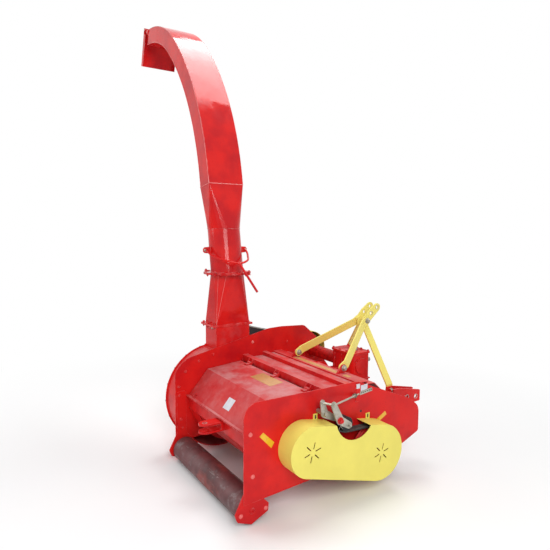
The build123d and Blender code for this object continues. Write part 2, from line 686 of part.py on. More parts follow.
def on_rotor(shape, x, angle):
    return Pos(x, ROTOR_Y, ROTOR_Z) * Rot(angle, 0, 0) * shape


def rotor():
    half = HALF - MOVE_GAP
    tube = bar_x(ROTOR_Y, ROTOR_Z, ROTOR_TUBE_R, -half, half, ROTOR_TUBE_R - ROTOR_WALL)
    reach = OUTER + PULLEY_GAP + PULLEY_W + PULLEY_END
    parts = [tube]
    for side in (-1, 1):
        x0, x1 = sorted((side * half, side * (half - 15)))
        parts.append(bar_x(ROTOR_Y, ROTOR_Z, ROTOR_TUBE_R, x0, x1))
        x0, x1 = sorted((side * half, side * reach))
        parts.append(bar_x(ROTOR_Y, ROTOR_Z, SHAFT_R, x0, x1))
    half_lug, tip, root = LUG_W / 2, LUG_PIN_Z + LUG_W / 2, ROTOR_TUBE_R - 4
    side = [(-half_lug, root), (half_lug, root), (half_lug, LUG_PIN_Z)]
    side += [(half_lug / 2, tip), (-half_lug / 2, tip)]
    lug = make_face(Polyline(*side, (-half_lug, LUG_PIN_Z), close=True).edges())
    head = Pos(0, LUG_PIN_Z) * RegularPolygon(PIN_HEAD, 6)
    near = SHANK_T / 2 + RUN_GAP
    far = near + LUG_T
    one = across(lug, near, far) + across(head, far, far + PIN_HEAD_T)
    pair = one + mirrored(one)
    parts += [on_rotor(pair, x, angle) for x, angle in flail_places()]
    save("rotor_tube", parts[0] + parts[1:])


def flails():
    """Hammer flails, each a shank between its lugs with a wide bent head."""
    half, top = LUG_W / 2 - 2, FLAIL_R - 20
    foot = LUG_PIN_Z - half
    side = [(-half, LUG_PIN_Z), (-half / 2, foot), (half / 2, foot)]
    side += [(half, LUG_PIN_Z), (half, top), (-half, top)]
    shank = make_face(Polyline(*side, close=True).edges())
    head = strip([(-32, FLAIL_R - 62), (-6, FLAIL_R - 30), (34, FLAIL_R - 6)], FLAIL_T)
    flail = across(shank, -SHANK_T / 2, SHANK_T / 2) + across(head, -FLAIL_HEAD / 2, FLAIL_HEAD / 2)
    save("flails", *[on_rotor(flail, x, angle) for x, angle in flail_places()])


# ---------------------------------------------------------------- auger and fan
def auger():
    start, end = HALF - MOVE_GAP, -OUTER
    reach = OUTER + PULLEY_GAP + PULLEY_W + PULLEY_END
    tube = bar_x(0, AUGER_Z, TUBE_R, end, start, TUBE_R - TUBE_WALL)
    cover = OUTER + VOLUTE_WIDTH + SHEET
    parts = [
        bar_x(0, AUGER_Z, TUBE_R, start - 12, start),
        bar_x(0, AUGER_Z, SHAFT_R, start, reach),
        bar_x(0, AUGER_Z, TUBE_R, end, end + 12),
        bar_x(0, AUGER_Z, SHAFT_R, -cover - BEARING_LEN - 10, end),
    ]
    save("auger_tube", tube + parts + pulley(*RIGHT_REAR, 1, SHAFT_R - 1))
    first, last = end + 1, start - 1
    steps = round((last - first - FLIGHT_T) / FLIGHT_PITCH * FLIGHT_STEPS)
    rings = []
    for i in range(steps + 1):
        x, angle = first + (last - first - FLIGHT_T) * i / steps, 2 * math.pi * i / FLIGHT_STEPS
        across_y, across_z = math.cos(angle), math.sin(angle)
        section = ((x, FLIGHT_ROOT), (x, FLIGHT_R), (x + FLIGHT_T, FLIGHT_R), (x + FLIGHT_T, FLIGHT_ROOT))
        rings.append([(u, r * across_y, AUGER_Z + r * across_z) for u, r in section])
    save("auger_flight", skin(rings))


def fan():
    x0, x1 = -OUTER - VOLUTE_WIDTH + MOVE_GAP, -OUTER - MOVE_GAP
    hub = bar_x(0, AUGER_Z, TUBE_R + 8, x0, x1, SHAFT_R)
    blade = strip([(PADDLE_T / 2, TUBE_R), (PADDLE_T / 2, PADDLE_R - 60), (-14, PADDLE_R)][::-1], PADDLE_T)
    back = -PADDLE_T / 2
    rib = make_face(Polyline((back, TUBE_R), (-60, TUBE_R - 10), (back, 210), close=True).edges())
    parts = []
    for i in range(PADDLES):
        turn = Pos(0, 0, AUGER_Z) * Rot(360.0 / PADDLES * i, 0, 0)
        parts.append(turn * across(blade, x0, x1))
        parts.append(turn * across(rib, (x0 + x1) / 2 - 4, (x0 + x1) / 2 + 4))
    save("fan_paddles", hub + parts)


# ---------------------------------------------------------------- belt drives
def pulley(y, z, radius, side, bore):
    """A wheel with V grooves, a web and a hub, beyond the side plate on the given side."""
    x0 = OUTER + PULLEY_GAP
    x1 = x0 + PULLEY_W
    low = radius - GROOVE_DEPTH
    pitch = (PULLEY_W - RIDGE_W) / GROOVES
    rim = [(x0, low - RIM_T), (x0, radius)]
    for i in range(GROOVES):
        ridge = x0 + RIDGE_W + i * pitch
        rim += [(ridge, radius), (ridge + (pitch - RIDGE_W) / 2, low), (ridge + pitch - RIDGE_W, radius)]
    web = x1 - WEB_T - RIM_T
    rim += [(x1, radius), (x1, low - RIM_T), (web + WEB_T, low - RIM_T), (web + WEB_T, bore + HUB_T)]
    rim += [(x1, bore + HUB_T), (x1, bore), (x0, bore), (x0, bore + HUB_T)]
    rim += [(web, bore + HUB_T), (web, low - RIM_T)]
    profile = make_face(Polyline(*rim, close=True).edges())
    wheel = revolve(Plane(origin=(0, y, z)) * profile, Axis((0, y, z), (1, 0, 0)))
    return wheel if side > 0 else mirrored(wheel)


def belt_loop(rear, front, grow):
    """The hull round two pulleys, each grown by the same amount."""
    return make_hull([e for y, z, r in (rear, front) for e in hole(y, z, r + grow).edges()])


def touch_point(wheel, grow, idler_r, upward):
    """Where a belt that runs over the wheel and then under the idler leaves the wheel."""
    y, z, r = wheel
    r += grow
    towards = Vector(IDLER_Y - y, IDLER_Z - z)
    lift = (r + idler_r) / towards.length
    ahead = towards.normalized()
    aside = Vector(-ahead.Y, ahead.X) * upward
    return Vector(y, z) + (ahead * lift + aside * math.sqrt(1 - lift * lift)) * r


def pressed_loop(grow):
    """The right belt's outline at a height over its pulleys, with its upper run pressed down by the idler."""
    idler_r = IDLER_R + RUN_GAP + BELT_T - (grow - RUN_GAP)
    rear = touch_point(RIGHT_REAR, grow, idler_r, 1)
    front = touch_point(RIGHT_FRONT, grow, idler_r, -1)
    up = Vector(0, 400)
    edges = [Line(rear, rear + up), Line(rear + up, front + up), Line(front + up, front)]
    pressed = make_hull(edges + hole(IDLER_Y, IDLER_Z, idler_r).edges())
    return belt_loop(RIGHT_REAR, RIGHT_FRONT, grow) - pressed


def drives():
    """The rotor's two pulleys, and a joined belt on each side."""
    save("rotor_pulleys", pulley(*RIGHT_FRONT, 1, SHAFT_R), pulley(*LEFT_REAR, -1, SHAFT_R))
    x0 = OUTER + PULLEY_GAP + (PULLEY_W - BELT_W) / 2
    inner, outer = RUN_GAP, RUN_GAP + BELT_T
    right = pressed_loop(outer) - pressed_loop(inner)
    left = belt_loop(LEFT_REAR, LEFT_FRONT, outer) - belt_loop(LEFT_REAR, LEFT_FRONT, inner)
    save("drive_belts", across(right, x0, x0 + BELT_W), across(left, -x0 - BELT_W, -x0))


def tensioner():
    """A cranked arm that holds the idler down on the belt, the link that carries it, and its pull rod."""
    link0 = OUTER + LINK_OUT
    arm0 = OUTER + PULLEY_GAP + PULLEY_W + PULLEY_END + 4
    arm1 = arm0 + ARM_T
    idler = (IDLER_Y, IDLER_Z)
    arm = make_hull(hole(*ARM_TOP, 20).edges() + hole(*ARM_PIVOT, 28).edges())
    arm += make_hull(hole(*ARM_PIVOT, 28).edges() + hole(*idler, 22).edges())
    link = make_hull(hole(*LINK_EYE, 18).edges() + hole(*LINK_BOSS, 26).edges())
    link += make_hull(hole(*LINK_BOSS, 26).edges() + hole(*ARM_PIVOT, 18).edges())
    tab_y, tab_z = ROD_END[0] + TAB_SIZE[0] / 2, ROD_END[1] + 10
    tab = across(Pos(tab_y, tab_z) * Rectangle(*TAB_SIZE), OUTER, OUTER + 6)
    start, end = Vector(arm1, *ARM_TOP), Vector(OUTER + 6 + ROD_R, *ROD_END)
    rod = Solid.make_cylinder(ROD_R, (end - start).length + 12, Plane(start, z_dir=end - start))
    parts = [
        across(arm, arm0, arm1),
        across(link, link0 - ARM_T, link0),
        bar_x(*LINK_BOSS, 14, OUTER, link0 - ARM_T),
        bar_x(*ARM_PIVOT, 12, link0, arm0),
        bar_x(*idler, IDLER_PIN_R, OUTER + PULLEY_GAP, arm0),
        bar_x(*ARM_TOP, 9, arm1, arm1 + 8),
        rod,
        tab,
    ]
    save("tensioner", parts[0] + parts[1:])
    x0 = OUTER + PULLEY_GAP
    save("idler_pulley", bar_x(*idler, IDLER_R, x0 + 2, x0 + PULLEY_W - 2, IDLER_PIN_R + RUN_GAP))


def guard(rear, front, notch=False):
    """A belt cover: a band round two circles with a flat face, open to the side plate."""
    (y0, z0, r0), (y1, z1, r1) = rear, front
    outline = make_hull(hole(y0, z0, r0).edges() + hole(y1, z1, r1).edges())
    inside = make_hull(hole(y0, z0, r0 - COVER_SHEET).edges() + hole(y1, z1, r1 - COVER_SHEET).edges())
    shell = across(outline, OUTER, GUARD_X) - across(inside, OUTER, GUARD_X - COVER_SHEET)
    for y, z, _ in (rear, front):
        for i in range(VENTS):
            angle = 360.0 / VENTS * i + 15
            slot = Pos(y, z) * Rot(0, 0, angle) * Pos(VENT_R, 0) * Rectangle(VENT_LEN, VENT_W)
            shell -= across(slot, GUARD_X - 2 * COVER_SHEET, GUARD_X + 1)
    if notch:
        shell -= across(hole(NOTCH_Y, NOTCH_Z, NOTCH_R), OUTER - 1, GUARD_X + 1)
    return shell


def guards():
    (ry, rz, _), (fy, fz, _) = RIGHT_REAR, RIGHT_FRONT
    right = guard((ry, rz, GUARD_REAR_R), (fy, fz, GUARD_FRONT_R), notch=True)
    for y, z in GUARD_TABS:
        right += across(Pos(y, z) * Rectangle(*GUARD_TAB), OUTER, OUTER + COVER_SHEET)
    save("guard_right", right)
    (ry, rz, r0), (fy, fz, r1) = LEFT_REAR, LEFT_FRONT
    save("guard_left", mirrored(guard((ry, rz, r0 + GUARD_CLEAR), (fy, fz, r1 + GUARD_CLEAR))))


def belt_shield():
    """A dark sheet that slopes from the duct to the left guard, with a skirt on the side plate."""
    rear = (DUCT_Y1 + SHEET, SHIELD_REAR_Z)
    top = across(strip([SHIELD_FRONT, rear], COVER_SHEET), -GUARD_X, -OUTER)
    low_rear, low_front = (rear[0], rear[1] - SHIELD_SKIRT), (SHIELD_FRONT[0], SHIELD_FRONT[1] - SHIELD_SKIRT)
    skirt = make_face(Polyline(rear, SHIELD_FRONT, low_front, low_rear, close=True).edges())
    save("belt_shield", top + across(skirt, -OUTER - COVER_SHEET, -OUTER))


# ---------------------------------------------------------------- gearbox and shafts
def gearbox():
    middle, deep = (BOX_Y0 + BOX_Y1) / 2, BOX_Y1 - BOX_Y0
    box = upright(Pos(0, middle) * RectangleRounded(2 * BOX_HALF, deep, BOX_CORNER), BOX_Z0, BOX_Z1)
    boss = along(Pos(0, CROSS_Z) * Circle(CAP_R), BOX_Y1 - 1, BOX_Y1 + BOSS_LEN)
    collar = Pos(0, CROSS_Z) * Circle(STUB_COLLAR_R + RUN_GAP)
    stub_bore = along(collar, BOX_Y1 - SHAFT_SEAT, BOX_Y1 + BOSS_LEN + 1)
    seat = SHAFT_SEAT + 2
    cross_bore = bar_x(CROSS_Y, CROSS_Z, CROSS_SHAFT_R + RUN_GAP, -BOX_HALF - 1, -BOX_HALF + seat)
    cap = bar_x(CROSS_Y, CROSS_Z, CAP_R, BOX_HALF - 1, BOX_HALF + CAP_T)
    save("gearbox", box + boss + cap - stub_bore - cross_bore)
    wide = RectangleRounded(2 * (BOX_HALF + LID_LIP), deep + 2 * LID_LIP, BOX_CORNER + 4)
    save("gearbox_lid", upright(Pos(0, middle) * wide, BOX_Z1, BOX_Z1 + LID_T))
    radius, thick = HOUSING_FLANGE
    housing = bar_x(CROSS_Y, CROSS_Z, HOUSING_R, -HALF, -BOX_HALF)
    housing += bar_x(CROSS_Y, CROSS_Z, radius, -HALF, -HALF + thick)
    housing += bar_x(CROSS_Y, CROSS_Z, radius, -BOX_HALF - thick, -BOX_HALF)
    save("shaft_tube", housing - bar_x(CROSS_Y, CROSS_Z, HOUSING_R - HOUSING_WALL, -OUTER, -BOX_HALF))


def gearbox_mount():
    """Two gussets that step down from the front beam to the hitch beam, with the gearbox's bed."""
    rear = BOX_Y0 - 5
    profile = [
        (BEAM_FRONT[1], BEAM_FRONT[3]),
        (700.0, 700.0),
        (rear, BOX_Z0),
        (BEAM_HITCH[1], BOX_Z0),
        (BEAM_HITCH[1], BEAM_HITCH[3]),
        (BEAM_HITCH[0], BEAM_HITCH[3]),
    ]
    face = make_face(Polyline(*profile, *cover_path()[::-1], close=True).edges())
    gusset = across(face, GUSSET_X - GUSSET_T / 2, GUSSET_X + GUSSET_T / 2)
    bed = block(-BOX_HALF, BOX_HALF, rear, BEAM_HITCH[1], BOX_Z0 - BED_T, BOX_Z0)
    save("gearbox_mount", gusset + mirrored(gusset) + bed)


def shafts():
    end = -(OUTER + PULLEY_GAP + PULLEY_W + PULLEY_END)
    cross = bar_x(CROSS_Y, CROSS_Z, CROSS_SHAFT_R, end, -BOX_HALF + SHAFT_SEAT)
    save("cross_shaft", cross + pulley(*LEFT_FRONT, -1, CROSS_SHAFT_R - 1))
    start = BOX_Y1 + BOSS_LEN + 2
    stub = along(Pos(0, CROSS_Z) * Circle(CROSS_SHAFT_R), start, start + STUB_LEN)
    stub += along(Pos(0, CROSS_Z) * Circle(STUB_COLLAR_R), BOX_Y1 - SHAFT_SEAT + 3, start)
    save("drive_stub", stub)


def bearings():
    """Flange bearings: the rotor and auger shafts on the side plates, the fan shaft on the volute."""
    places = [
        (ROTOR_Y, ROTOR_Z, OUTER, 1, SHAFT_R),
        (ROTOR_Y, ROTOR_Z, OUTER, -1, SHAFT_R),
        (0, AUGER_Z, OUTER, 1, SHAFT_R),
        (0, AUGER_Z, OUTER + VOLUTE_WIDTH + SHEET, -1, SHAFT_R),
        (CROSS_Y, CROSS_Z, OUTER, -1, CROSS_SHAFT_R),
    ]
    made = []
    for y, z, x, side, shaft in places:
        square = Rectangle(BEARING_FLANGE, BEARING_FLANGE)
        plate = Pos(y, z) * chamfer(square.vertices(), BEARING_CORNER) - hole(y, z, shaft + RUN_GAP)
        snout = bar_x(y, z, BEARING_R, x, x + BEARING_LEN, shaft + RUN_GAP)
        one = across(plate, x, x + BEARING_FLANGE_T) + snout
        made.append(one if side > 0 else mirrored(one))
    save("bearings", *made)


# ---------------------------------------------------------------- hitch
def bent_bar(high, x_high, low, x_low):
    """A flat bar between two bolts, each (Y, Z), with both ends bent into line with the machine."""
    start, end = Vector(0, *high), Vector(0, *low)
    run = end - start
    length, heading = run.length, run.normalized()
    upward = Vector(0, -heading.Z, heading.Y)
    tab = BRACE_TAB
    path = [(-tab, -x_high), (tab, -x_high), (length - tab, -x_low), (length + tab, -x_low)]
    ribbon = Plane(start - upward * BRACE_W, x_dir=heading, z_dir=upward) * strip(path, BRACE_T)
    return extrude(ribbon, amount=2 * BRACE_W, dir=upward) & across(slot_between(high, low, BRACE_W), 0, HALF)


def brace_bracket():
    """The ear on the front beam that takes a rear brace."""
    foot = Line((BEAM_FRONT[0] + 10, BEAM_FRONT[3]), (BEAM_FRONT[1], BEAM_FRONT[3]))
    face = make_hull(hole(*REAR_BOLT, 26).edges() + foot.edges())
    return across(face, BRACKET_X + BRACE_T, BRACKET_X + 2 * BRACE_T)


def hitch():
    high = HEAD_HOLES[0]
    head = make_hull([e for y, z in HEAD_HOLES for e in hole(y, z, HEAD_R).edges()])
    for y, z in HEAD_HOLES[1:]:
        head -= hole(y, z, TOP_PIN_R)
    plate = across(head, TOP_GAP / 2, TOP_GAP / 2 + EAR_T)
    save("top_link_plates", plate, mirrored(plate))

    rear = bent_bar(high, TOP_GAP / 2 + EAR_T, REAR_BOLT, BRACKET_X)
    save("rear_braces", rear, mirrored(rear))
    inner = LOWER_SPREAD / 2 - EAR_GAP / 2 - EAR_T
    front = bent_bar(high, TOP_GAP / 2 - BRACE_T, FRONT_BOLT, inner - BRACE_T)
    save("front_braces", front, mirrored(front))

    front_y, tip = BEAM_HITCH[1], LOWER_Y + EAR_END
    profile = rounded(
        [
            (front_y, BEAM_HITCH[2], 0),
            (tip, LOWER_Z - 40, 6),
            (tip, LOWER_Z + 45, 6),
            (front_y + 110, LOWER_Z + 80, 0),
            (front_y + 60, LOWER_Z + 90, 0),
            (front_y, LOWER_Z + 90, 0),
        ]
    )
    profile -= hole(LOWER_Y, LOWER_Z, LOWER_PIN_R)
    profile -= hole(LOWER_Y - LOWER_STEP, LOWER_Z + 10, LOWER_PIN_R)
    outer = inner + EAR_T + EAR_GAP
    ears = [across(profile, inner, inner + EAR_T), across(profile, outer, outer + EAR_T)]
    save("lower_hitch_plates", *ears, *[mirrored(e) for e in ears])


def tow_hitch():
    """A clevis behind the trough: two eye plates on a web, with a rail along the trough."""
    back = TROUGH_REAR - SHEET
    front = back - RAIL_T
    eye = Pos(TOW_X, TOW_PIN_Y) * Circle(EYE_R)
    eye += Pos(TOW_X, (front + TOW_PIN_Y) / 2) * Rectangle(2 * EYE_R, front - TOW_PIN_Y)
    eye -= Pos(TOW_X, TOW_PIN_Y) * Circle(TOW_PIN_R)
    rail = block(-HALF, HALF, front, back, TOW_Z0 - 20, TOW_Z1 + 8)
    web = block(TOW_X - EYE_R, TOW_X + EYE_R, front - 22, front, TOW_Z0, TOW_Z1)
    eyes = upright(eye, TOW_Z0, TOW_Z0 + EYE_T) + upright(eye, TOW_Z1 - EYE_T, TOW_Z1)
    save("tow_hitch", rail + web + eyes)


def main():
    os.makedirs(PARTS, exist_ok=True)
    side_plates()
    beams()
    parking_stand()
    rotor_cover()
    trough()
    rear_hood()
    volute()
    spout_base()
    spout_pipe()
    spout_arch()
    flap_bracket()
    deflector_flap()
    turning_handle()
    roller_supports()
    ground_roller()
    rotor()
    flails()
    auger()
    fan()
    drives()
    tensioner()
    guards()
    belt_shield()
    gearbox()
    gearbox_mount()
    shafts()
    bearings()
    hitch()
    tow_hitch()


if __name__ == "__main__":
    main()
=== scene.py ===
"""Finishes, fasteners, welds and worn details of the flail forage harvester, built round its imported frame.

Metres, +X to the machine's right, +Y forwards to the tractor, +Z up from the floor.
"""

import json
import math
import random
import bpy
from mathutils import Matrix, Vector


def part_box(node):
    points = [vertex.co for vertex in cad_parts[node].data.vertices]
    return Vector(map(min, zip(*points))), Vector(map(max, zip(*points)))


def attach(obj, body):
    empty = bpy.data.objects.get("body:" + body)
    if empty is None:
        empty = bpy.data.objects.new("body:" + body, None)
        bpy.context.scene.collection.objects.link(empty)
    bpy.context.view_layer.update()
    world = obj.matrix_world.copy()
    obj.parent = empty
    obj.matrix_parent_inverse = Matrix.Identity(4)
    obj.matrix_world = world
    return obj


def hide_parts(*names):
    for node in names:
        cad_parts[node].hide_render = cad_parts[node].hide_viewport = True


bl_info = {
    "name": "Forage Harvester Finish",
    "version": (1, 0, 0),
    "blender": (4, 5, 0),
    "location": "View3D > Sidebar > Harvester",
    "description": "Paint, fasteners, weld beads and trim for the flail forage harvester",
    "category": "Object",
}

import bmesh
import bpy
from bpy.props import FloatProperty, FloatVectorProperty, IntProperty, PointerProperty
from mathutils import Matrix, Vector

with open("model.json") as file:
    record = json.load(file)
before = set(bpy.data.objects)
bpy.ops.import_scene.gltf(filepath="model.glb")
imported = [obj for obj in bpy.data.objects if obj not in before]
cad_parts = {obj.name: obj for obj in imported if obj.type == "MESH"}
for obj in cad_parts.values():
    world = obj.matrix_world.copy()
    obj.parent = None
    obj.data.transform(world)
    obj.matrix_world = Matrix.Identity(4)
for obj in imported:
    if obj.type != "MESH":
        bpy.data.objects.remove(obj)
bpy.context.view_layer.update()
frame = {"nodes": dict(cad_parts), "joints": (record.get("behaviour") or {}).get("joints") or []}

X, Y, Z = Vector((1, 0, 0)), Vector((0, 1, 0)), Vector((0, 0, 1))
SIDES = (-1, 1)  # left and right, or rear and front
CORNERS = ((1, 1), (1, -1), (-1, -1), (-1, 1))  # of a square, in turn


def middle(node):
    """The middle of a node's box."""
    low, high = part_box(node)
    return (low + high) / 2


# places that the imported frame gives
RIGHT_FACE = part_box("side_plate_right")[1].x  # outer face of the right side plate
LEFT_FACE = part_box("side_plate_left")[1].x  # inner face of the left side plate
LEFT_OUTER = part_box("side_plate_left")[0].x  # outer face of the left side plate
FOOT_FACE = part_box("roller_supports")[1].x  # outer face of the right foot bracket
AUGER, ROTOR, ROLLER = middle("auger_tube"), middle("rotor_pulleys"), middle("ground_roller")
CROSS, STUB, GEARBOX = middle("cross_shaft"), middle("drive_stub"), middle("gearbox")
DUCT, STAND = middle("outlet_duct"), middle("parking_stand")
RING_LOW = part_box("spout_base")[1].z  # top of the fixed ring
VOLUTE_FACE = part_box("volute_cover")[0].x  # outer face of the fan's cover
SPOUT_X = (VOLUTE_FACE + LEFT_OUTER) / 2  # the spout's upright axis


# ---- sizes and colours
COLOUR = {"subtype": "COLOR", "size": 3}


class HarvesterColours(bpy.types.PropertyGroup):
    """Paint and surface colours of the machine"""

    red: FloatVectorProperty(
        name="Red enamel", description="Main paint", default=(0.68, 0.012, 0.010), **COLOUR)
    red_deep: FloatVectorProperty(
        name="Deep red", description="Paint in runs and corners", default=(0.50, 0.006, 0.010), **COLOUR)
    yellow: FloatVectorProperty(
        name="Yellow enamel", description="Belt guards", default=(0.84, 0.74, 0.15), **COLOUR)
    dust: FloatVectorProperty(
        name="Dust", description="Dry dust on level sheet", default=(0.62, 0.36, 0.36), **COLOUR)
    primer: FloatVectorProperty(
        name="Roller primer", description="Primer on the roller", default=(0.13, 0.035, 0.037), **COLOUR)
    zinc: FloatVectorProperty(
        name="Zinc plate", description="Plated bolts and linkage", default=(0.52, 0.50, 0.43), **COLOUR)
    steel: FloatVectorProperty(
        name="Bare steel", description="Worn working steel", default=(0.40, 0.38, 0.36), **COLOUR)
    rubber: FloatVectorProperty(
        name="Belt rubber", description="Joined drive belts", default=(0.022, 0.021, 0.020), **COLOUR)
    amber: FloatVectorProperty(
        name="Reflector", description="Amber reflector strips", default=(0.83, 0.48, 0.02), **COLOUR)
    label: FloatVectorProperty(
        name="Blank label", description="Plain white labels", default=(0.66, 0.67, 0.72), **COLOUR)
    tan: FloatVectorProperty(
        name="Tan plate", description="Plate and beam strips", default=(0.56, 0.27, 0.09), **COLOUR)


class HarvesterSizes(bpy.types.PropertyGroup):
    """Sizes of the fasteners, beads and trim"""

    bolt: FloatProperty(
        name="Bolt head", description="Across the main bolts' flats", unit="LENGTH", default=0.019)
    small_bolt: FloatProperty(
        name="Small bolt head", description="Across the light bolts' flats", unit="LENGTH", default=0.013)
    bead: FloatProperty(
        name="Weld bead", description="Radius of the fillet welds", unit="LENGTH", default=0.004)
    turn_steps: IntProperty(
        name="Flight steps", description="Facets in each turn of the auger flight", default=72, min=12)
    label_thickness: FloatProperty(
        name="Label thickness", description="Labels over the paint", unit="LENGTH", default=0.0008)


def sizes():
    return bpy.context.scene.harvester_sizes


# ---- mesh helpers
SMOOTH_ANGLE = math.radians(35)  # sharper edges than this stay crisp
DOME_R = 0.014  # a coach bolt's head


def turned(radius, angle, height=0.0):
    """A point on a turned shape."""
    return Vector((radius * math.cos(angle), radius * math.sin(angle), height))


def place(at, facing, spin=0.0):
    """A matrix at a point, with its Z along facing and a turn about it."""
    turn = Vector(facing).normalized().to_track_quat("Z", "Y").to_matrix().to_4x4()
    return Matrix.Translation(Vector(at)) @ turn @ Matrix.Rotation(spin, 4, "Z")


def round_point(x, axle, radius, angle):
    """A point round an axle that runs along X."""
    return Vector((x, axle.y + radius * math.cos(angle), axle.z + radius * math.sin(angle)))


def ring(bm, matrix, sides, radius, height):
    """The corners of a ring, or its middle point where it has no radius."""
    if radius < 1e-6:
        return [bm.verts.new(matrix @ Vector((0, 0, height)))]
    return [bm.verts.new(matrix @ turned(radius, 2 * math.pi * i / sides, height)) for i in range(sides)]


def join_rings(bm, lower, upper, finish=0):
    """Faces between two rings, either of which may be a single point."""
    count = max(len(lower), len(upper))
    for i in range(count):
        j = (i + 1) % count
        corners = (lower[i % len(lower)], lower[j % len(lower)], upper[j % len(upper)], upper[i % len(upper)])
        unique = list(dict.fromkeys(corners))
        if len(unique) > 2:
            bm.faces.new(unique).material_index = finish


def join_all(bm, rings, finish=0):
    """Faces between each ring and the next."""
    for lower, upper in zip(rings, rings[1:]):
        join_rings(bm, lower, upper, finish)


def lathe(bm, matrix, profile, sides=24, finish=0):
    """A turned shape from (radius, height) pairs."""
    join_all(bm, [ring(bm, matrix, sides, radius, height) for radius, height in profile], finish)


def washer(bm, matrix, radius, thickness, finish=0):
    profile = [(radius, 0), (radius, thickness * 0.8), (radius * 0.95, thickness), (0, thickness)]
    lathe(bm, matrix, profile, 20, finish)


def hex_bolt(bm, at, facing, spin, flats, finish=0, shank=0.0):
    """A hexagon head on a washer, with an optional threaded end instead of a flat top."""
    matrix = place(at, facing, spin)
    thick = flats * 0.14
    washer(bm, matrix, flats * 0.82, thick, finish)
    corner = flats / math.sqrt(3)
    top = thick + flats * 0.62
    head = [(corner, thick), (corner, top - flats * 0.08), (corner * 0.88, top), (flats * 0.28, top)]
    if not shank:
        dish = top - flats * 0.04
        lathe(bm, matrix, head + [(flats * 0.24, dish), (0, dish)], 6, finish)
        return
    lathe(bm, matrix, head + [(0, top)], 6, finish)
    threads = max(3, round(shank / 0.002))
    thread = [(flats * 0.28, top)]
    for i in range(threads):
        low = top + shank * i / threads
        thread.append((flats * 0.30, low + shank * 0.3 / threads))
        thread.append((flats * 0.255, low + shank * 0.8 / threads))
    lathe(bm, matrix, thread + [(flats * 0.22, top + shank), (0, top + shank)], 12, finish)


def dome_bolt(bm, at, facing, finish=0):
    """A coach bolt's round head."""
    shares = ((1, 0), (0.98, 0.12), (0.8, 0.34), (0.45, 0.5), (0, 0.55))
    lathe(bm, place(at, facing), [(DOME_R * r, DOME_R * h) for r, h in shares], 20, finish)


def path_frames(points, closed=False):
    """Matrices along a path, each with its Z along the path and no twist between neighbours."""
    count = len(points)
    frames, side = [], None
    for i, here in enumerate(points):
        before = points[i - 1] if i or closed else here
        after = points[(i + 1) % count] if i < count - 1 or closed else here
        ahead = (after - before).normalized()
        if side is None:
            side = ahead.orthogonal().normalized()
        side = (side - ahead * side.dot(ahead)).normalized()
        up = ahead.cross(side)
        frames.append(Matrix((side, up, ahead)).transposed().to_4x4())
        frames[-1].translation = here
    return frames


def tube(bm, points, radius, sides=12, finish=0, closed=False, bore=0.0):
    """A round bar along a path. Its radius may be a function of the step. A bore leaves its far end open."""
    frames = path_frames(points, closed)
    size = radius if callable(radius) else lambda step: radius
    rings = [ring(bm, matrix, sides, size(i), 0) for i, matrix in enumerate(frames)]
    join_all(bm, rings, finish)
    if closed:
        join_rings(bm, rings[-1], rings[0], finish)
        return
    join_rings(bm, ring(bm, frames[0], sides, 0, 0), rings[0], finish)
    ends = [(bore, 0), (bore, -4 * bore), (0, -4 * bore)] if bore else [(0, 0)]
    join_all(bm, [rings[-1]] + [ring(bm, frames[-1], sides, inside, depth) for inside, depth in ends], finish)


def smooth_path(points, steps=8):
    """A curve through every point, with steps between neighbours."""
    points = [Vector(p) for p in points]
    last = len(points) - 1
    made = []
    for i in range(last):
        a, b, c, d = points[max(i - 1, 0)], points[i], points[i + 1], points[min(i + 2, last)]
        for k in range(steps):
            t = k / steps
            bend = (2 * a - 5 * b + 4 * c - d) * t * t
            made.append(((2 * b) + (c - a) * t + bend + (3 * b - a - 3 * c + d) * t ** 3) / 2)
    return made + [points[-1]]


def run(start, end, spacing):
    """Points from start to end, about spacing apart."""
    start, end = Vector(start), Vector(end)
    steps = max(2, round((end - start).length / spacing))
    return [start.lerp(end, i / steps) for i in range(steps + 1)]


def circle(centre, axis, radius, steps=48):
    matrix = place(centre, axis)
    return [matrix @ turned(radius, 2 * math.pi * i / steps) for i in range(steps)]


def offsets(at, steps):
    """Points at the given steps from a place."""
    return [at + Vector(step) for step in steps]


def bead(bm, points, radius, seed, closed=False, finish=0):
    """A fillet weld: a rippled bar laid half into the corner that it fills."""
    chance = random.Random(seed)
    wobble = [chance.uniform(-0.12, 0.12) for _ in range(len(points) + 1)]
    tube(bm, points, lambda i: radius * (0.9 + 0.16 * math.sin(i * 2.1) + wobble[i]), 7, finish, closed)


def weld_run(bm, corners, radius, seed, closed=False, finish=0):
    """A fillet weld along straight runs between corners."""
    corners = [Vector(c) for c in corners]
    if closed:
        corners.append(corners[0])
    points = []
    for a, b in zip(corners, corners[1:]):
        points += run(a, b, radius * 1.5)[:-1]
    bead(bm, points if closed else points + [corners[-1]], radius, seed, closed, finish)


def sheet(bm, corners, facing, thickness, finish=0, edge=0.12):
    """A thin plate on its corners with a small chamfered edge, raised along facing."""
    facing = Vector(facing).normalized()
    corners = [Vector(c) for c in corners]
    centre = sum(corners, Vector()) / len(corners)
    loops = []
    for rise, inset in ((0, 0), (0.7, 0), (1, edge)):
        loop = []
        for corner in corners:
            inwards = (centre - corner).normalized() * thickness * inset * 4
            loop.append(bm.verts.new(corner + inwards + facing * thickness * rise))
        loops.append(loop)
    join_all(bm, loops, finish)
    bm.faces.new(loops[-1]).material_index = finish
    bm.faces.new(loops[0][::-1]).material_index = finish


def patch(bm, at, along, across, facing, thickness, finish=0):
    """A thin four-sided plate from one corner and the two edges that leave it."""
    sheet(bm, [at, at + along, at + along + across, at + across], facing, thickness, finish)


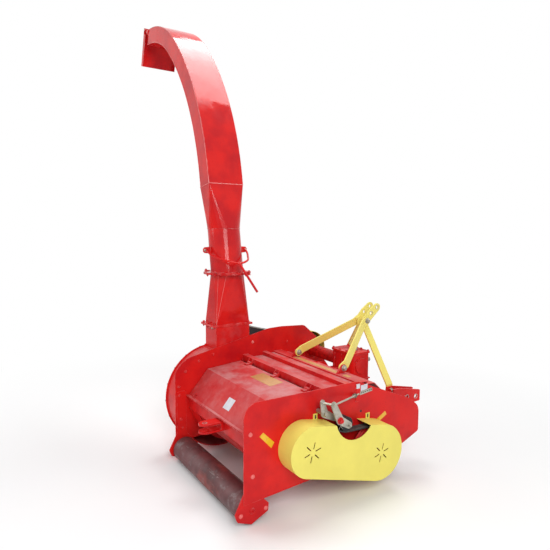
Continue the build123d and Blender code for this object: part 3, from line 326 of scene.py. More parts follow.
def slab(bm, low, high, chamfer, finish=0):
    """A block between two corners with its edges chamfered."""
    low, high = Vector(low), Vector(high)
    matrix = Matrix.Translation((low + high) / 2) @ Matrix.Diagonal((high - low).to_4d())
    corners = bmesh.ops.create_cube(bm, size=1.0, matrix=matrix)["verts"]
    for face in {f for v in corners for f in v.link_faces}:
        face.material_index = finish
    edges = {e for v in corners for e in v.link_edges}
    bmesh.ops.bevel(bm, geom=list(edges), offset=chamfer, segments=2, affect="EDGES", material=-1)


def piece(name, bm, body, slot, *finishes):
    """Closes a mesh into a named piece that rides on a body. The slot argument is not used."""
    bmesh.ops.recalc_face_normals(bm, faces=bm.faces)
    mesh = bpy.data.meshes.new(name)
    bm.to_mesh(mesh)
    bm.free()
    for finish in finishes:
        mesh.materials.append(FINISHES[finish])
    mesh.polygons.foreach_set("use_smooth", [True] * len(mesh.polygons))
    mesh.set_sharp_from_angle(angle=SMOOTH_ANGLE)
    made = bpy.data.objects.new(name, mesh)
    bpy.context.scene.collection.objects.link(made)
    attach(made, body)
    return made


# ---- finishes
class Finish:
    """A material whose nodes are added one at a time round its surface shader."""

    def __init__(self, name, roughness=0.5, metallic=0.0, coat=0.0, specular=0.5):
        self.material = bpy.data.materials.new(name)
        self.material.use_nodes = True
        self.tree = self.material.node_tree
        self.surface = self.tree.nodes["Principled BSDF"]
        for socket, value in (("Roughness", roughness), ("Metallic", metallic), ("Coat Weight", coat),
                              ("Coat Roughness", 0.08), ("Specular IOR Level", specular)):
            self.surface.inputs[socket].default_value = value
        self.coordinates = self.add("ShaderNodeTexCoord").outputs["Object"]
        self.geometry = self.add("ShaderNodeNewGeometry")

    def add(self, kind, **sockets):
        node = self.tree.nodes.new(kind)
        for name, value in sockets.items():
            self.put(node.inputs[name.replace("_", " ")], value)
        return node

    def put(self, socket, value):
        if isinstance(value, bpy.types.NodeSocket):
            self.tree.links.new(value, socket)
        else:
            socket.default_value = value

    def noise(self, scale, detail, stretch=None, roughness=0.55):
        where = self.coordinates
        if stretch:
            where = self.add("ShaderNodeMapping", Vector=where, Scale=stretch).outputs["Vector"]
        made = self.add("ShaderNodeTexNoise", Vector=where, Scale=scale, Detail=detail, Roughness=roughness)
        return made.outputs["Fac"]

    def between(self, value, low, high, out_low=0.0, out_high=1.0):
        """Eases a value from one range into another."""
        made = self.add("ShaderNodeMapRange", Value=value)
        numbers = {"From Min": low, "From Max": high, "To Min": out_low, "To Max": out_high}
        for socket, number in numbers.items():
            made.inputs[socket].default_value = number
        made.interpolation_type = "SMOOTHSTEP"
        return made.outputs["Result"]

    def math(self, operation, a, b):
        made = self.tree.nodes.new("ShaderNodeMath")
        made.operation = operation
        self.put(made.inputs[0], a)
        self.put(made.inputs[1], b)
        return made.outputs[0]

    def mix(self, share, a, b):
        made = self.tree.nodes.new("ShaderNodeMix")
        made.data_type = "RGBA"
        self.put(made.inputs["Factor"], share)
        for socket, value in ((made.inputs[6], a), (made.inputs[7], b)):
            self.put(socket, value if isinstance(value, bpy.types.NodeSocket) else (*value, 1.0))
        return made.outputs[2]

    def uneven(self, scale, detail, low, high, out_low=0.0, out_high=1.0, **grain):
        """A cloudy value, eased from one range of the noise into another."""
        return self.between(self.noise(scale, detail, **grain), low, high, out_low, out_high)

    def patches(self, body, colour, scale, detail, low, high, share=1.0, **grain):
        """Lays patches of a colour over the body, where the noise passes from low to high."""
        return self.mix(self.uneven(scale, detail, low, high, 0.0, share, **grain), body, colour)

    def upward(self):
        """How level a surface lies, from 0 on a wall to 1 on a top."""
        facing = self.add("ShaderNodeTexCoord").outputs["Normal"]
        split = self.add("ShaderNodeSeparateXYZ", Vector=facing)
        return self.between(split.outputs["Z"], 0.5, 0.95)

    def edges(self, radius=0.003):
        """1 along the edges and 0 on the flats."""
        bevel = self.add("ShaderNodeBevel", Radius=radius)
        bevel.samples = 6
        compare = self.tree.nodes.new("ShaderNodeVectorMath")
        compare.operation = "DOT_PRODUCT"
        self.put(compare.inputs[0], bevel.outputs["Normal"])
        self.put(compare.inputs[1], self.geometry.outputs["Normal"])
        return self.between(compare.outputs["Value"], 0.995, 0.90)

    def bump(self, height, strength, distance, normal=None):
        made = self.add("ShaderNodeBump", Height=height, Strength=strength, Distance=distance)
        if normal is not None:
            self.put(made.inputs["Normal"], normal)
        return made.outputs["Normal"]

    def close(self, colour, roughness=None, normal=None):
        for socket, value in (("Base Color", colour), ("Roughness", roughness), ("Normal", normal)):
            if value is not None:
                self.put(self.surface.inputs[socket], value)
        return self.material


def shade(colour, factor):
    """A colour made lighter or darker."""
    return tuple(min(1.0, c * factor) for c in colour)


def enamel(name, colour, deep, dust=0.0, dust_colour=(0.5, 0.4, 0.4), rough=0.30, waves=0.6, edge_wear_and_highlight=0.5,
           streaks=0.0, gloss=0.22, dull=0.16, specks=0.25):
    """Sprayed enamel: uneven coats, dust on level faces, pale edges that are partly chipped paint and partly
    a painted highlight, and a wavy skin.
    """
    made = Finish(name, specular=gloss)
    body = made.patches(colour, deep, 5.0, 5.0, 0.35, 0.7)
    body = made.patches(body, shade(deep, 0.6), 60.0, 3.0, 0.62, 0.75, specks)
    if streaks:
        drip = shade(colour, 1.25)
        body = made.patches(body, drip, 9.0, 4.0, 0.50, 0.66, streaks, stretch=(1.6, 1.6, 0.12))
    if dust:
        settled = made.uneven(4.0, 6.0, 0.36, 0.66, 0.15, roughness=0.7)
        level = made.math("MULTIPLY", made.upward(), settled)
        body = made.mix(made.math("MULTIPLY", level, dust), body, dust_colour)
        body = made.patches(body, dust_colour, 14.0, 5.0, 0.45, 0.7, 0.22 * dust)
    # pale edges: partly chipped paint, partly a painted highlight along every edge
    chips_and_edge_highlight = made.math("MULTIPLY", made.edges(), made.uneven(35.0, 4.0, 0.4, 0.62))
    chipped_and_highlight_colour = tuple(min(1.0, 0.35 + 0.65 * c) for c in colour)
    body = made.mix(made.math("MULTIPLY", chips_and_edge_highlight, edge_wear_and_highlight), body, chipped_and_highlight_colour)
    sheen = made.uneven(7.0, 5.0, 0.42, 0.62, rough, rough + dull)
    skin = made.bump(made.noise(3.2, 2.0), waves, 0.006)
    peel = made.bump(made.noise(420.0, 2.0), 0.08, 0.0006, skin)
    soften = made.add("ShaderNodeBevel", Radius=0.0016, Normal=peel)
    soften.samples = 4
    return made.close(body, sheen, soften.outputs["Normal"])


def cast_enamel(name, colour):
    """Paint over a rough casting."""
    made = Finish(name, specular=0.25)
    body = made.patches(colour, shade(colour, 0.55), 30.0, 5.0, 0.35, 0.7)
    sheen = made.uneven(50.0, 4.0, 0.3, 0.7, 0.34, 0.6)
    return made.close(body, sheen, made.bump(made.noise(260.0, 4.0), 0.5, 0.0012))


def scuffed_primer(name, colour):
    """Brown primer on the roller, scraped grey and dusted by the ground, with a few bare nicks."""
    made = Finish(name)
    body = made.patches(colour, shade(colour, 0.5), 6.0, 6.0, 0.35, 0.7)
    body = made.patches(body, (0.27, 0.055, 0.045), 3.5, 5.0, 0.52, 0.66, 0.75, stretch=(1.0, 2.2, 2.2))
    body = made.patches(body, (0.20, 0.15, 0.15), 11.0, 7.0, 0.54, 0.68, 0.6, roughness=0.7)
    body = made.patches(body, (0.52, 0.46, 0.43), 34.0, 5.0, 0.70, 0.76, 0.8, stretch=(0.5, 1.0, 1.0))
    body = made.patches(body, (0.34, 0.28, 0.27), 46.0, 2.0, 0.66, 0.74, 0.35, stretch=(0.12, 1.0, 1.0))
    sheen = made.uneven(9.0, 4.0, 0.3, 0.7, 0.42, 0.68)
    return made.close(body, sheen, made.bump(made.noise(55.0, 5.0), 0.5, 0.0014))


def plated(name, colour):
    """Zinc plate with a warm stain, dark edges and fine scratches."""
    made = Finish(name, metallic=0.75)
    body = made.patches(colour, shade(colour, 0.72), 22.0, 4.0, 0.35, 0.7)
    body = made.patches(body, (0.40, 0.30, 0.17), 60.0, 5.0, 0.55, 0.72, 0.6)
    body = made.mix(made.math("MULTIPLY", made.edges(0.0025), 0.55), body, (0.16, 0.12, 0.08))
    scratch = made.bump(made.noise(300.0, 3.0, stretch=(1.0, 0.15, 0.15)), 0.25, 0.0004)
    return made.close(body, made.uneven(40.0, 4.0, 0.3, 0.7, 0.34, 0.54), scratch)


def worked_steel(name, colour, paint, worn):
    """Working steel with the rest of its paint, rubbed bright towards its edges."""
    made = Finish(name, metallic=0.6)
    metal = made.patches(colour, shade(colour, 0.6), 25.0, 5.0, 0.35, 0.7)
    metal = made.patches(metal, (0.20, 0.08, 0.04), 70.0, 5.0, 0.62, 0.76, 0.7)
    cover = made.uneven(9.0, 6.0, worn - 0.06, worn + 0.06, roughness=0.7)
    keep = made.math("MULTIPLY", cover, made.math("SUBTRACT", 1.0, made.edges(0.006)))
    sheen = made.uneven(30.0, 4.0, 0.3, 0.7, 0.32, 0.6)
    return made.close(made.mix(keep, metal, paint), sheen, made.bump(made.noise(140.0, 4.0), 0.35, 0.0008))


def belt_rubber(name, colour):
    """Rubber with a woven back and grey dust."""
    made = Finish(name)
    body = made.patches(colour, (0.10, 0.09, 0.08), 30.0, 5.0, 0.4, 0.75, 0.55)
    weave = made.add("ShaderNodeTexWave", Vector=made.coordinates, Scale=260.0, Distortion=0.6)
    sheen = made.uneven(20.0, 4.0, 0.3, 0.7, 0.55, 0.8)
    return made.close(body, sheen, made.bump(weave.outputs["Fac"], 0.3, 0.0006))


def printed(name, colour, rough, marks=0.0, mark_colour=(0.3, 0.2, 0.05)):
    """A plain label or reflector with scuffs and no print."""
    made = Finish(name, coat=0.15)
    body = made.patches(colour, shade(colour, 0.7), 40.0, 5.0, 0.4, 0.7, 0.35)
    if marks:
        body = made.patches(body, mark_colour, 65.0, 3.0, 0.58, 0.70, marks)
    return made.close(body, rough, made.bump(made.noise(180.0, 2.0), 0.1, 0.0004))


FINISHES = {}


def make_finishes():
    c = bpy.context.scene.harvester_colours
    red, deep, dust, steel, yellow = (tuple(v) for v in (c.red, c.red_deep, c.dust, c.steel, c.yellow))
    FINISHES.update(
        red=enamel("red_enamel", red, deep),
        spout_red=enamel("spout_enamel", red, deep, rough=0.08, waves=1.0, edge_wear_and_highlight=0.9, streaks=0.06, gloss=0.24,
                         dull=0.12),
        # a paler pink copy of the red enamel that paints highlights on edge lines, folds, weld beads and bolt
        # heads
        rim_red=enamel("painted_highlight_enamel", (0.80, 0.20, 0.18), (0.72, 0.10, 0.10), rough=0.12, gloss=0.4),
        dusty_red=enamel("dusty_enamel", shade(red, 0.85), deep, dust=0.62, dust_colour=dust, rough=0.42),
        beam_red=enamel("beam_enamel", red, deep, dust=0.30, dust_colour=dust, rough=0.34),
        yellow=enamel("yellow_enamel", yellow, shade(yellow, 0.93), rough=0.32, waves=0.3, edge_wear_and_highlight=0.05,
                      specks=0.06),
        # a lighter copy of the yellow enamel for the braces: partly their paler paint, partly painted light
        # lifting their shaded faces
        pale_yellow=enamel("lifted_brace_enamel", (0.86, 0.76, 0.20), (0.84, 0.72, 0.17), rough=0.30, waves=0.3,
                           edge_wear_and_highlight=0.0, specks=0.05),
        casting=cast_enamel("painted_casting", shade(red, 0.75)),
        primer=scuffed_primer("roller_primer", tuple(c.primer)),
        zinc=plated("zinc_plate", tuple(c.zinc)),
        steel=worked_steel("worn_steel", steel, red, 0.55),
        bright=worked_steel("bright_steel", shade(steel, 1.3), red, 0.9),
        red_steel=worked_steel("rubbed_enamel", steel, red, 0.36),
        rubber=belt_rubber("belt_rubber", tuple(c.rubber)),
        black=enamel("black_enamel", (0.028, 0.028, 0.03), (0.015, 0.015, 0.016), rough=0.36, edge_wear_and_highlight=0.25),
        amber=printed("amber_reflector", tuple(c.amber), 0.3, 0.45, (0.40, 0.16, 0.01)),
        label=printed("blank_label", tuple(c.label), 0.4),
        tan=printed("faded_plate", tuple(c.tan), 0.5, 0.4, (0.40, 0.20, 0.12)),
    )


NODE_FINISH = {
    "red": "side_plate_right side_plate_left beam_hitch auger_trough volute_cover turning_handle cross_shaft "
           "roller_supports gearbox gearbox_lid gearbox_mount lower_hitch_plates tow_hitch parking_stand "
           "rotor_pulleys",
    "beam_red": "beam_rear beam_mid beam_front rotor_cover volute_band outlet_duct",
    "dusty_red": "deck_plates rear_hood",
    "spout_red": "spout_base spout_pipe spout_neck spout_arch flap_bracket deflector_flap",
    "yellow": "guard_right guard_left",
    "pale_yellow": "top_link_plates rear_braces front_braces",
    "casting": "shaft_tube bearings",
    "black": "belt_shield idler_pulley",
    "rubber": "drive_belts",
    "zinc": "tensioner",
    "primer": "ground_roller",
    "steel": "flails fan_paddles",
    "red_steel": "rotor_tube auger_tube auger_flight",
    "bright": "drive_stub",
}


def paint_nodes():
    """Gives every formed part its finish."""
    for finish, names in NODE_FINISH.items():
        for name in names.split():
            node = frame["nodes"][name]
            if not node.material_slots:
                node.data.materials.append(None)
            for material_slot in node.material_slots:
                material_slot.link = "OBJECT"
                material_slot.material = FINISHES[finish]


# ---- turned shapes, as radius and height
AXLE_CAP = ((0.0165, 0), (0.0165, 0.005), (0.014, 0.007), (0.006, 0.007), (0.005, 0.001), (0, 0.001))
SHAFT_COLLAR = ((0.086, 0), (0.086, 0.004), (0.083, 0.006), (0.072, 0.006))
FAN_COLLAR = ((0.118, 0), (0.118, 0.004), (0.114, 0.005), (0.092, 0.005))
OPEN_HOLE = ((0.0085, 0), (0.0075, 0.0006), (0.0065, 0.0004), (0, 0.0003))
EYE_CAP = ((0.014, 0), (0.014, 0.004), (0.010, 0.006), (0.007, 0.006), (0.007, 0.001), (0, 0.001))
NIPPLE = ((0.0045, 0), (0.0045, 0.004), (0.0025, 0.005), (0.0025, 0.008), (0.0034, 0.010), (0.0022, 0.012),
          (0, 0.012))
ROTOR_DISC = ((0.070, 0), (0.070, 0.003), (0.060, 0.004), (0.036, 0.004))
OIL_SEAL = ((0.034, 0), (0.034, 0.003), (0.031, 0.004), (0.0215, 0.004))
BREATHER = ((0.011, 0), (0.011, 0.008), (0.006, 0.010), (0.006, 0.022), (0.010, 0.024), (0.010, 0.030),
            (0.004, 0.034), (0, 0.034))
PIN_HEAD = ((0.011, 0), (0.011, 0.004), (0.008, 0.006), (0, 0.006))


def worn_rim(bm, at, facing, radii, sides=32):
    """The rubbed metal round a pin hole, from its outside in."""
    lathe(bm, place(at, facing), list(zip(radii, (0, 0.0005, 0.0005, 0))), sides)


# ---- side plates, as Y and Z
PLATE_DOMES = ((-0.350, 0.559), (-0.334, 0.302))  # on the right plate
FOOT_DOMES = ((-0.411, 0.079), (-0.241, 0.081))  # on both foot brackets
LEFT_BOLTS = ((-0.083, 0.777), (-0.200, 0.741), (-0.311, 0.675), (-0.367, 0.568), (0.608, 0.801))
BRACKET_BOLTS = ((-0.364, 0.500), (-0.355, 0.316), (-0.348, 0.250))
SHOULDER_BOLT = (0.275, 0.831)
FOOT_PLATE = 0.008  # foot bracket's thickness
SPARE_HOLE = (0.502, 0.537)  # left open for another guard
GUARD_SLOTS, SLOT_FACE = ((0.118, 0.574), (0.562, 0.496)), 0.0032  # in the guard's tabs
SLOT_OUTLINE = ((-1, -0.7), (-0.5, -1), (0.5, -1), (1, -0.7), (1, 0.7), (0.5, 1), (-0.5, 1), (-1, 0.7))
SLOT_HALF_WIDTH, SLOT_HALF_HEIGHT = 0.0055, 0.013
REFLECTORS = (
    ((-0.264, 0.554), (-0.186, 0.478), (-0.207, 0.447), (-0.289, 0.534)),
    ((0.647, 0.452), (0.727, 0.494), (0.741, 0.468), (0.661, 0.426)),
)


def plate_bolts():
    """Bolts of the side plates and foot brackets, with the roller's axle ends."""
    bm = bmesh.new()
    small, big, weld = sizes().small_bolt * 1.15, sizes().bolt * 0.8, sizes().bead * 0.7
    # the coach bolts' domes take the pale pink enamel, which paints their highlights
    for y, z in PLATE_DOMES:
        dome_bolt(bm, (RIGHT_FACE, y, z), X, 2)
    for side in SIDES:
        for y, z in FOOT_DOMES:
            dome_bolt(bm, (side * FOOT_FACE, y, z), side * X, 2)
        axle_end = (side * FOOT_FACE, ROLLER.y, ROLLER.z)
        lathe(bm, place(axle_end, side * X), AXLE_CAP)
        bead(bm, circle(axle_end, X, 0.018, 40), weld, 3, True)
    for y, z in LEFT_BOLTS:
        hex_bolt(bm, (LEFT_FACE, y, z), X, y * 7, small)
    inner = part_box("roller_supports")[0].x + FOOT_PLATE
    for y, z in BRACKET_BOLTS:
        for side in SIDES:
            hex_bolt(bm, (-side * inner, y, z), -side * X, z * 9, big)
    # this bolt's head takes the pale pink enamel, which paints its highlight
    hex_bolt(bm, (LEFT_FACE, *SHOULDER_BOLT), X, 0, sizes().bolt * 0.75, 2)
    lathe(bm, place((LEFT_FACE, CROSS.y, CROSS.z), X), SHAFT_COLLAR, 48)
    piece("plate_bolts", bm, "frame", "red_paint", "red", "zinc", "rim_red")


def plate_holes():
    """Black sheets that paint the shade inside the spare hole in the right plate and the slots in the guard's
    tabs.
    """
    bm = bmesh.new()
    # black sheets paint the shade inside the hole and slots
    lathe(bm, place((RIGHT_FACE, *SPARE_HOLE), X), OPEN_HOLE, 20)
    for y, z in GUARD_SLOTS:
        centre = Vector((RIGHT_FACE + SLOT_FACE, y, z))
        outline = offsets(centre, [(0, u * SLOT_HALF_WIDTH, w * SLOT_HALF_HEIGHT) for u, w in SLOT_OUTLINE])
        sheet(bm, outline, X, 0.0004)
    piece("painted_shade_slots_and_holes", bm, "frame", "dark_steel", "black")


def reflectors():
    """The amber strips on the right plate."""
    bm = bmesh.new()
    for corners in REFLECTORS:
        sheet(bm, [(RIGHT_FACE, y, z) for y, z in corners], X, sizes().label_thickness)
    piece("amber_reflectors", bm, "frame", "yellow_paint", "amber")


# ---- fan housing
RIM_BOLTS, RIM_R, RIM_START, RIM_SWEEP = 14, 0.389, 105, 250  # round the cover, in degrees
SEAM_STEPS, SEAM_R, SEAM_START, SEAM_SWEEP = 230, 0.386, 97, 262  # weld round the volute
COVER_BOLTS = ((0.388, 0.49), (0.388, 0.59), (0.340, 0.694), (0.292, 0.764))
DUCT_EDGE, DUCT_SEAM = 0.028, (0.825, 0.978)  # the duct's flange past its wall, and its weld's Z


def fan_housing():
    """Cover bolts, welds and shaft collar of the fan's housing."""
    bm = bmesh.new()
    small, weld, seam_x = sizes().small_bolt, sizes().bead * 0.8, LEFT_OUTER - 0.001
    for i in range(RIM_BOLTS):
        angle = math.radians(RIM_START + RIM_SWEEP * i / (RIM_BOLTS - 1))
        hex_bolt(bm, round_point(VOLUTE_FACE, AUGER, RIM_R, angle), -X, i, small, 1)
    for y, z in COVER_BOLTS:
        hex_bolt(bm, (VOLUTE_FACE, y, z), -X, y * 9, small, 1)
    angles = [math.radians(SEAM_START + SEAM_SWEEP * i / SEAM_STEPS) for i in range(SEAM_STEPS + 1)]
    bead(bm, [round_point(seam_x, AUGER, SEAM_R, angle) for angle in angles], weld, 4)
    low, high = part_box("outlet_duct")
    for y, seed in ((low.y + DUCT_EDGE, 5), (high.y - DUCT_EDGE, 6)):
        weld_run(bm, [(seam_x, y, z) for z in DUCT_SEAM], weld, seed)
    lathe(bm, place((VOLUTE_FACE - 0.0005, AUGER.y, AUGER.z), -X), FAN_COLLAR, 64)
    piece("fan_housing_bolts", bm, "frame", "red_paint", "red", "zinc")


# ---- hood and beams
HOOD_LIP, HOOD_FOLD, HOOD_FRONT = (-0.281, 0.4903), (-0.130, 0.668), (0.160, 0.694)  # Y, Z
HOOD_SHEET = 0.0033
HOOD_LABEL = (-0.030, 0.058, -0.246, -0.192)  # X from and to, Y from and to
HOOD_PLATE, HOOD_PLATE_T = (-0.120, 0.150, 0.020, 0.128), 0.0012
HEM_Z, LATCH_X, LATCH_Y = 0.4955, 0.430, -0.262
LATCH_HOOK = ((0, -0.008, 0), (0, -0.020, -0.006), (0, -0.024, -0.022), (0, -0.016, -0.032))
BEAM_STRIPS, STRIP_Z = ((-0.262, 0.262, 0.496, 0.540), (0.330, 0.392, 0.500, 0.536)), 0.732
BEAM_ENDS = ((0.182, 0.232, 0.690, 0.740), (0.480, 0.560, 0.668, 0.732), (0.372, 0.412, 0.700, 0.740))  # Y, Z
INNER_FACE = RIGHT_FACE - 0.0065  # just inside the side plate
STRIP_REAR, STRIP_FRONT = Vector((RIGHT_FACE, 0.490, 0.648)), Vector((RIGHT_FACE, 0.600, 0.661))
STRIP_TALL, STRIP_T, STRIP_SLOTS = 0.024, 0.003, 6
TAB_REAR, TAB_FRONT, TAB_LOW, TAB_HIGH = 0.4514, 0.4866, 0.6084, 0.7316
SHIELD_SLOTS, SHIELD_DROP, SHIELD_T = 9, 0.0925, 0.0022
SHIELD_BOLTS = (0.04, 0.5, 0.95)  # shares of its length


def hood_place(x, y):
    """A point on the hood's outer face over a given Y, and the way that face looks."""
    a, b = (HOOD_LIP, HOOD_FOLD) if y < HOOD_FOLD[0] else (HOOD_FOLD, HOOD_FRONT)
    slope = Vector((0, b[0] - a[0], b[1] - a[1])).normalized()
    normal = Vector((0, -slope.z, slope.y))
    z = a[1] + (b[1] - a[1]) * (y - a[0]) / (b[0] - a[0])
    return Vector((x, y, z)) + normal * HOOD_SHEET, normal


def hood_patch(bm, x0, x1, y0, y1, thickness, finish):
    """A thin plate on the hood between two X and two Y."""
    corners = [hood_place(x, y)[0] for x, y in ((x0, y0), (x1, y0), (x1, y1), (x0, y1))]
    sheet(bm, corners, hood_place(x0, y0)[1], thickness, finish)


def hood_trim():
    """The hood's blank label and plate, rolled hem and two latches."""
    bm = bmesh.new()
    hood_patch(bm, *HOOD_LABEL, sizes().label_thickness, 1)
    hood_patch(bm, *HOOD_PLATE, HOOD_PLATE_T, 2)
    low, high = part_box("rear_hood")
    tube(bm, [Vector((x, low.y + 0.002, HEM_Z)) for x in (low.x + 0.004, high.x - 0.004)], 0.0026, 10)
    for side in SIDES:
        at = hood_place(side * LATCH_X, LATCH_Y)[0]
        slab(bm, at + Vector((-0.013, -0.012, -0.004)), at + Vector((0.013, 0.010, 0.004)), 0.0015, 3)
        tube(bm, smooth_path(offsets(at, LATCH_HOOK), 5), 0.0028, 8, 3)
    piece("hood_trim", bm, "hood", "red_paint", "dusty_red", "label", "tan", "red")


def beam_trim():
    """Faded strips on the front beam, and the welds at the ends of three beams."""
    bm = bmesh.new()
    for x0, x1, y0, y1 in BEAM_STRIPS:
        corners = [(x, y, STRIP_Z) for x, y in ((x0, y0), (x1, y0), (x1, y1), (x0, y1))]
        sheet(bm, corners, Z, 0.0009, 1)
    for y0, y1, z0, z1 in BEAM_ENDS:
        for side in SIDES:
            x = side * INNER_FACE
            corners = [(x, y0, z0), (x, y0, z1), (x, y1, z1), (x, y1, z0)]
            weld_run(bm, corners, sizes().bead * 0.9, round(y0 * 900) + side)
    piece("beam_trim", bm, "frame", "red_paint", "beam_red", "tan")


def plate_strip():
    """The slotted strip on the right plate's front shoulder, with the blank labels over it."""
    bm = bmesh.new()
    ahead = (STRIP_FRONT - STRIP_REAR).normalized()
    up = X.cross(ahead)
    patch(bm, STRIP_REAR, STRIP_FRONT - STRIP_REAR, up * STRIP_TALL, X, STRIP_T)
    # the slots are thin black patches that paint the shade inside them
    for i in range(STRIP_SLOTS):
        at = STRIP_REAR + ahead * (0.006 + 0.018 * i) + up * STRIP_TALL * 0.4 + X * STRIP_T
        patch(bm, at, ahead * 0.011, up * 0.006, X, 0.0003, 1)
    on_strip = STRIP_REAR + ahead * 0.010 + up * (STRIP_TALL + 0.001)
    on_tab = Vector((RIGHT_FACE + 0.0066, 0.4535, 0.698))
    labels = ((on_strip, ahead * 0.060, 0.036, 0.038), (on_tab, Y * 0.030, 0.030, 0.032))
    for at, along, front, rear in labels:
        sheet(bm, [at, at + along, at + along + Z * front, at + Z * rear], X, sizes().label_thickness, 2)
    piece("plate_strip", bm, "frame", "zinc_plate", "zinc", "black", "label")


def rod_tab():
    """Paint over the tab that takes the tensioner's rod, and the welds beside it."""
    bm = bmesh.new()
    slab(bm, (RIGHT_FACE + 0.0001, TAB_REAR, TAB_LOW), (RIGHT_FACE + 0.0065, TAB_FRONT, TAB_HIGH), 0.0006)
    for y, seed in ((TAB_REAR - 0.0002, 37), (TAB_FRONT + 0.0002, 38)):
        weld_run(bm, [(RIGHT_FACE, y, z) for z in (0.610, 0.730)], sizes().bead * 0.8, seed)
    piece("rod_tab_paint", bm, "frame", "red_paint", "red")


def shield_highlight_strip():
    """The galvanised strip along the top edge of the belt shield, with its slots; its pale metal also paints
    the lit top face of the black shield, and the slots are black patches that paint their shade.
    """
    bm = bmesh.new()
    low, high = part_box("belt_shield")
    rear = Vector((high.x - 0.002, low.y + 0.006, high.z - 0.0005))
    front = Vector((high.x - 0.002, high.y - 0.004, high.z - SHIELD_DROP))
    ahead = (front - rear).normalized()
    up = Vector((0, -ahead.z, ahead.y))
    wide = X * -0.026
    # pale zinc strip, which also paints the lit top face of the black shield
    patch(bm, rear, front - rear, wide, up, SHIELD_T)
    for i in range(SHIELD_SLOTS):
        share = (i + 0.6) / (SHIELD_SLOTS + 0.6)
        at = rear + (front - rear) * share + wide * 0.35 + up * SHIELD_T
        patch(bm, at, ahead * 0.018, wide * 0.32, up, 0.0003, 1)
    for share in SHIELD_BOLTS:
        at = rear + (front - rear) * share + wide * 0.5 + up * 0.002
        hex_bolt(bm, at, up, 0, sizes().small_bolt * 0.8)
    piece("shield_highlight_strip", bm, "frame", "zinc_plate", "zinc", "black")


# ---- spout
PIPE_R, RING_R, PIPE_TOP, NECK_TOP = 0.130, 0.188, (-0.683, 1.750), (-0.7145, 2.090)  # tops as X, Z
ARCH_W, ARCH_D0, ARCH_D1, ARCH_LEAN = 0.300, 0.165, 0.138, math.radians(8.8)
ARCH_ARCS = ((2.190, 39.5), (1.040, 39.5))  # outer radius, degrees of turn
ARCH_STEPS, OUTER_EDGE, INNER_EDGE = 26, 0.0035, 0.160
EAR_Z, EAR_Y, BAIL_DROP, BAIL_R = 1.580, 0.165, 0.095, 0.008
LEVER_REACH = Vector((0.150, 0.075, -0.215))
FLANGE_T, RING_BOLTS, CLIPS, CLIP_START = 0.008, 6, 4, 35
CLIP_LAYERS = ((-0.014, -0.0085), (0.009, 0.014))  # under and over the two rings
CLIP_OUTLINE = ((-0.02, -0.02), (0.016, -0.013), (0.016, 0.013), (-0.02, 0.02))  # past the ring, across


def arch_edge(flank, inset):
    """Points along the arch's outer wall, inset from it, on one flank."""
    heading = Vector((-math.sin(ARCH_LEAN), 0, math.cos(ARCH_LEAN)))
    side = Vector((-math.cos(ARCH_LEAN), 0, -math.sin(ARCH_LEAN)))
    here = Vector((NECK_TOP[0], DUCT.y + flank * ARCH_W / 2, NECK_TOP[1])) - side * (ARCH_D0 / 2)
    points = []
    for radius, degrees in ARCH_ARCS:
        turn, centre = math.radians(degrees), here + side * radius
        for i in range(ARCH_STEPS + 1):
            angle = turn * i / ARCH_STEPS
            spoke = side * -math.cos(angle) + heading * math.sin(angle)
            points.append(centre + spoke * (radius - inset))
        side, heading = (side * math.cos(turn) - heading * math.sin(turn),
                         heading * math.cos(turn) + side * math.sin(turn))
        here = centre - side * radius
    return points


def spout_welds():
    """Welded edges of the arch, and the beads where neck, pipe and rings meet. The arch's edge lines and the
    neck's top bead are real lips and welds in the pale pink enamel, which paints their highlights.
    """
    bm = bmesh.new()
    weld = sizes().bead
    for flank in SIDES:
        wall = arch_edge(flank, 0)
        proud = Y * flank * 0.0006
        outer, inner = (offsets(proud, arch_edge(flank, inset)) for inset in (OUTER_EDGE, INNER_EDGE))
        shrink = (ARCH_D0 - ARCH_D1) / (len(wall) - 1)
        for i, (on_wall, point) in enumerate(zip(wall, inner)):
            inner[i] = on_wall.lerp(point, (INNER_EDGE - shrink * i) / INNER_EDGE)
        # edge lines in the pale pink enamel: real lips, painted as highlights
        for points in (outer, inner):
            tube(bm, smooth_path(points, 4), 0.0021, 8, 1)
    out = Vector((math.cos(ARCH_LEAN), 0, math.sin(ARCH_LEAN)))
    centre = Vector((NECK_TOP[0], DUCT.y, NECK_TOP[1]))
    corners = [centre + out * (u * ARCH_D0 / 2) + Y * (v * ARCH_W / 2) for u, v in CORNERS]
    weld_run(bm, corners, weld * 0.8, 21, True, 1)
    pipe_top = Vector((PIPE_TOP[0], DUCT.y, PIPE_TOP[1]))
    bead(bm, circle(pipe_top, Z, PIPE_R, 150), weld * 0.7, 22, True)
    bead(bm, circle((SPOUT_X, DUCT.y, RING_LOW + 0.010), Z, PIPE_R + 0.001, 150), weld, 23, True)
    pipe_foot = Vector((SPOUT_X, DUCT.y, RING_LOW + 0.012))
    weld_run(bm, [pipe_foot + Y * PIPE_R, pipe_top + Y * PIPE_R], weld * 0.6, 24)
    piece("spout_welds", bm, "spout", "red_paint", "spout_red", "rim_red")


